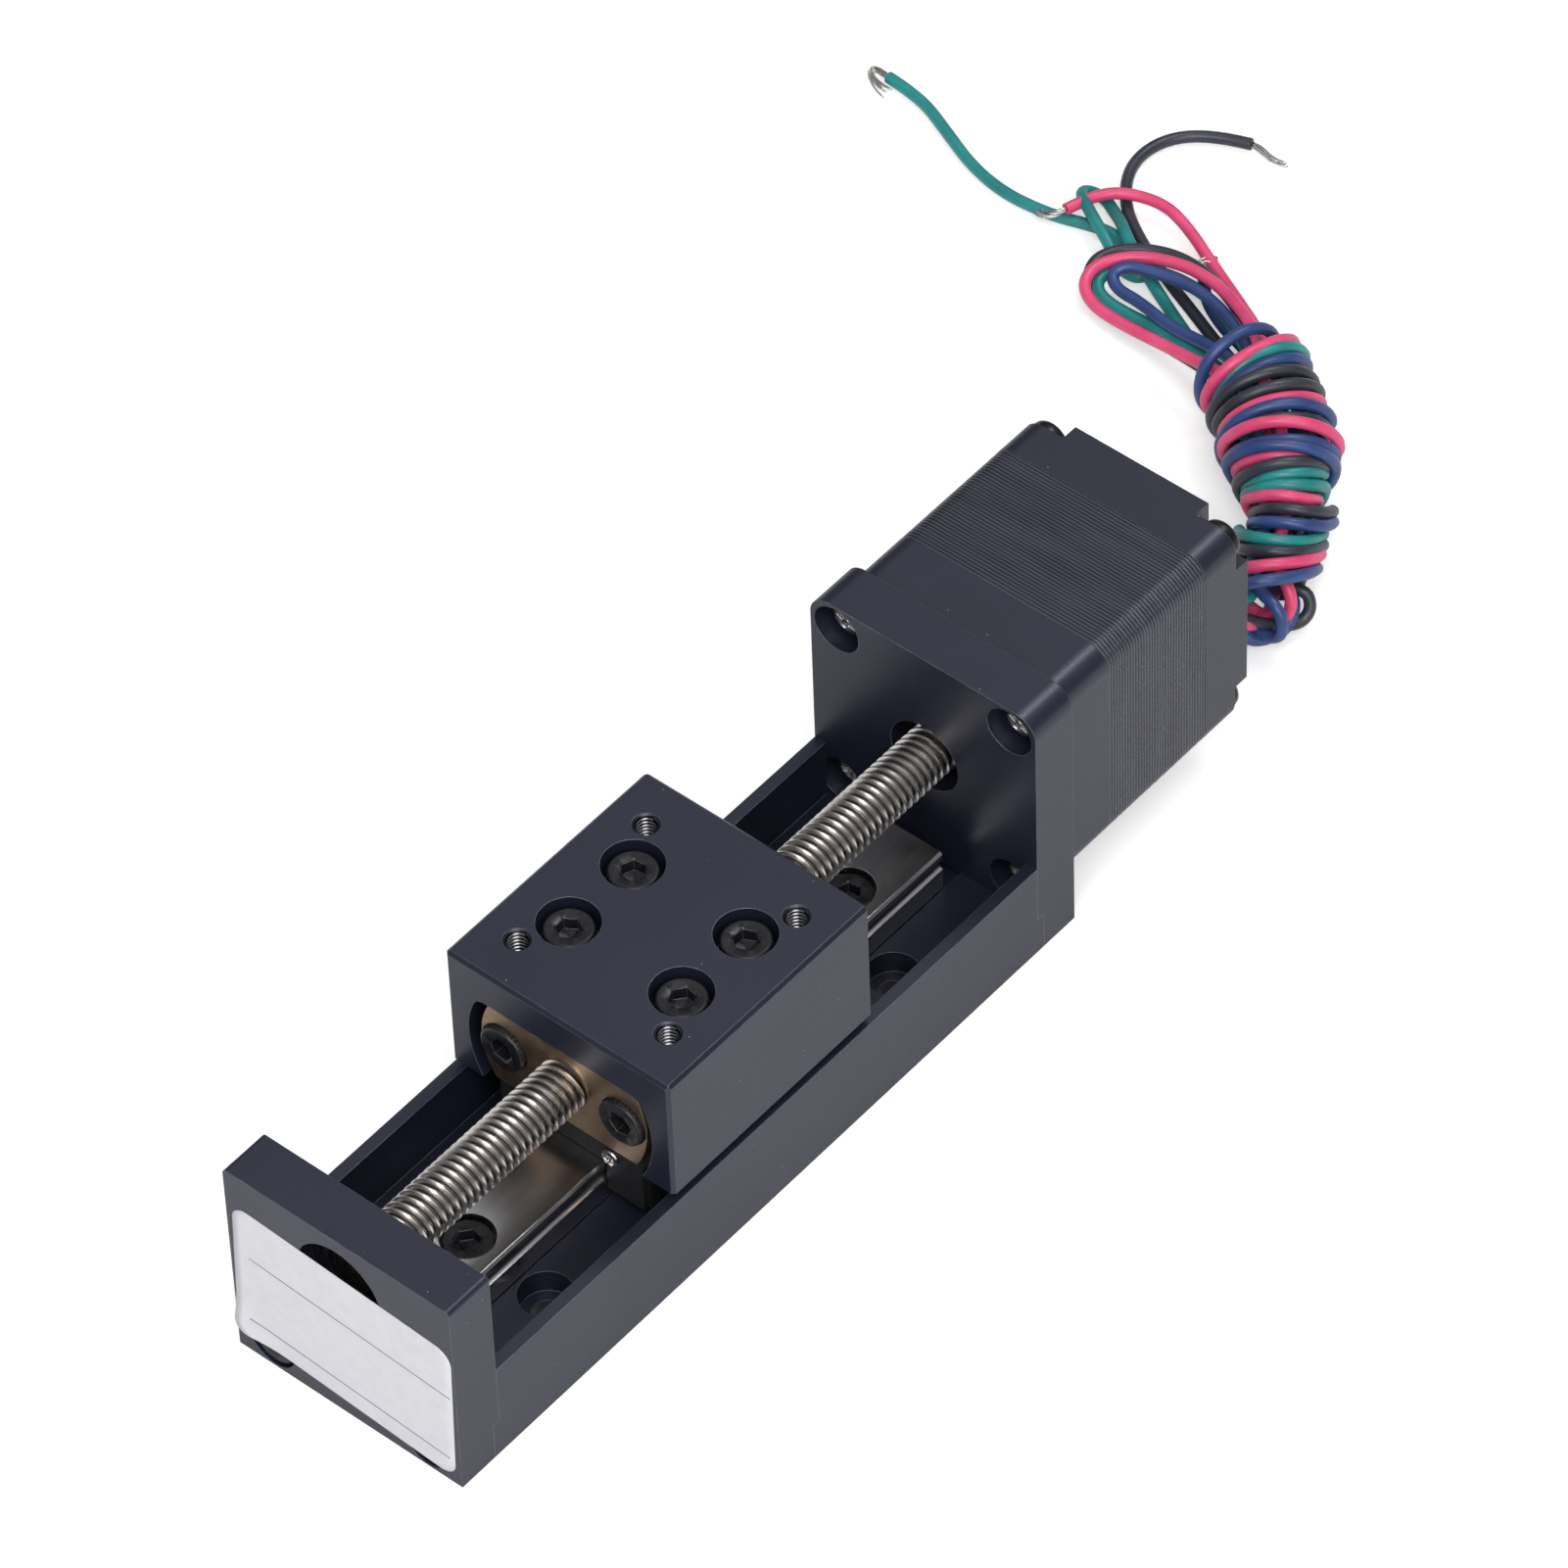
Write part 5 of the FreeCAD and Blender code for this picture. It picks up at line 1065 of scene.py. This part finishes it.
def strand_piece(name, path, seed):
    """Bare strands: seven fine wires, six round one, that leave the insulation together,
    twist and fan out. Strand k lies at the bundle's line plus inner * (cos t across + sin t
    up), with t growing along it, plus its own side step that grows with the square of the
    way along."""
    rng = np.random.default_rng(seed)
    count = 26
    bundle = smooth_line(to_frame(path), count)
    way = np.gradient(bundle, axis=0)
    way /= np.linalg.norm(way, axis=1, keepdims=True)
    across = np.cross(UP, way)
    across /= np.linalg.norm(across, axis=1, keepdims=True)
    up = np.cross(way, across)
    share = np.linspace(0, 1, count)
    turn = np.arange(6) * FULL / 6
    grids = []
    for number in range(7):
        inner = 0.0 if number == 6 else STRAND_CIRCLE
        twist = number * FULL / 6 + STRAND_TWIST * share
        fan = rng.uniform(-0.7, 0.7) * mm * share ** 2
        rise = rng.uniform(-0.1, 0.3) * mm * share ** 2
        middle = (bundle + (inner * np.cos(twist) + fan)[:, None] * across
                  + (inner * np.sin(twist) + rise)[:, None] * up)
        middle = middle[:int(count * rng.uniform(0.82, 1.0))]
        middle[:, 2] = np.maximum(middle[:, 2], STRAND_RADIUS + 0.02 * mm)
        kept = len(middle)
        ring = STRAND_RADIUS * (np.cos(turn)[:, None] * across[:kept, None]
                                + np.sin(turn)[:, None] * up[:kept, None])
        tube = middle[:, None] + ring
        ends = [np.broadcast_to(middle[k], tube[0].shape)[None] for k in (0, -1)]
        grids.append((np.concatenate([ends[0], tube, ends[1]]), True))
    return finish(make_piece(name, grids), TINNED)


def make_wires():
    """The four leads and the bare strands at their ends."""
    for number, colour in enumerate(SIDES):
        points = to_frame(wire_points(colour))
        wire = finish(lay_wire(colour + "_wire", points, WIRE * mm), WIRE_FINISH[colour])
        belongs(wire, "root", colour + "_insulation", colour + "_lead", colour + "_loop",
                colour + "_tail", "wire_hank")
        strands = strand_piece(colour + "_strands", STRANDS[colour], number)
        belongs(strands, "root", "tinned_strand", "bare_strands")


make_lead_screw()
make_socket_screws()
make_cross_screws()
make_carriage_threads()
make_sheet_stack()
make_sticker()
make_wires()


# Floor, light and camera

SEEN_WHITE = 1.0
ROOM_LIGHT = 0.42
MIRRORED_ROOM = [(0.0, 0.20), (0.2, 0.10), (0.55, 0.12), (0.74, 0.56)]
FLOOR_SIZE = 3.0
FLOOR_GREY = 0.82
FLOOR_GLOW = 0.42
FLOOR_HEIGHT = -0.00002
LAMP_TARGET = (0, 0, 0.02)


def light_by_ray(tree, seen, lit, mirrored):
    """Background that the camera sees as one grey, that lights the object with another,
    and that gloss mirrors as a third."""
    rays = tree.add("LightPath").outputs
    more = tree.math("SUBTRACT", mirrored, lit)
    level = tree.math("ADD", tree.math("MULTIPLY", rays["Is Glossy Ray"], more), lit)
    share = tree.math("MAXIMUM", rays["Is Camera Ray"], rays["Is Transmission Ray"])
    level = tree.math("MULTIPLY", level, tree.math("SUBTRACT", 1.0, share))
    return tree.math("ADD", level, tree.math("MULTIPLY", share, seen))


def make_world():
    """White room to the camera, softer light on the object, and in its gloss a room that is
    dark up to eye level and light above."""
    world = bpy.data.worlds.new("studio")
    bpy.context.scene.world = world
    tree = NodeTree(world)
    up = tree.axes(tree.add("TexCoord").outputs["Generated"])["Z"]
    level = light_by_ray(tree, SEEN_WHITE, ROOM_LIGHT, tree.ramp(up, MIRRORED_ROOM))
    tree.set(tree.nodes["Background"], Color=(1, 1, 1, 1), Strength=level)


def make_floor():
    """Plain pale floor that renders white where it is lit and keeps a soft shadow."""
    corners = [(x * FLOOR_SIZE, y * FLOOR_SIZE, FLOOR_HEIGHT)
               for x, y in ((-1, -1), (1, -1), (1, 1), (-1, 1))]
    mesh = bpy.data.meshes.new("floor")
    mesh.from_pydata(corners, [], [(0, 1, 2, 3)])
    floor = add_object("floor", mesh)
    material, tree, shader = new_finish("pale_floor")
    camera_ray = tree.add("LightPath").outputs["Is Camera Ray"]
    tree.set(shader, Roughness=0.9, Specular_IOR_Level=0.0, Base_Color=opaque(FLOOR_GREY),
             Emission_Color=(1, 1, 1, 1),
             Emission_Strength=tree.math("MULTIPLY", camera_ray, FLOOR_GLOW))
    finish(floor, material)


def make_lamp(name, place, size, watts):
    """Round soft lamp that looks at the middle of the object."""
    lamp = bpy.data.lights.new(name, "AREA")
    lamp.shape = "DISK"
    lamp.size = size
    lamp.energy = watts
    made = add_object(name, lamp)
    made.location = place
    made.rotation_mode = "QUATERNION"
    made.rotation_quaternion = (Vector(LAMP_TARGET) - Vector(place)).to_track_quat("-Z", "Y")


CAMERA_TURN = math.radians(41.942)
CAMERA_RISE = math.radians(48.586)
CAMERA_ROLL = math.radians(-2.502)
CAMERA_DISTANCE = 1062.65 * mm
CAMERA_TARGET = Vector((1.31 * mm, 0, 15 * mm))
SENSOR_WIDTH = 36.0
FOCAL_PIXELS = 10562.99
IMAGE_SIDE = 1601
OPTICAL_CENTRE = (777.71, 957.13)


def make_camera():
    """Camera at the photograph's angle, with its long lens and off-centre framing."""
    back = Vector((-math.cos(CAMERA_RISE) * math.cos(CAMERA_TURN),
                   -math.cos(CAMERA_RISE) * math.sin(CAMERA_TURN), math.sin(CAMERA_RISE)))
    right = (-back).cross(Vector((0, 0, 1))).normalized()
    up = right.cross(-back)
    turned_right = math.cos(CAMERA_ROLL) * right + math.sin(CAMERA_ROLL) * up
    turned_up = -math.sin(CAMERA_ROLL) * right + math.cos(CAMERA_ROLL) * up
    data = bpy.data.cameras.new("camera")
    data.sensor_width = SENSOR_WIDTH
    data.lens = SENSOR_WIDTH * FOCAL_PIXELS / IMAGE_SIDE
    data.shift_x = (IMAGE_SIDE / 2 - OPTICAL_CENTRE[0]) / IMAGE_SIDE
    data.shift_y = (OPTICAL_CENTRE[1] - IMAGE_SIDE / 2) / IMAGE_SIDE
    data.clip_start = 0.05
    data.clip_end = 20.0
    camera = add_object("camera", data)
    turn = Matrix((turned_right, turned_up, back)).transposed().to_4x4()
    camera.matrix_world = Matrix.Translation(CAMERA_TARGET + back * CAMERA_DISTANCE) @ turn
    bpy.context.scene.camera = camera


make_world()
make_floor()
make_lamp("key_lamp", (-0.45, -0.40, 0.85), 0.6, 5.2)
make_lamp("fill_lamp", (-0.30, -0.85, 0.50), 0.6, 2.7)
make_lamp("front_lamp", (-0.96, -0.06, 0.40), 0.6, 1.2)
make_lamp("overhead_lamp", (0.49, 0.0, 0.87), 0.35, 2.0)
make_camera()
bpy.context.scene.view_settings.view_transform = "Standard"
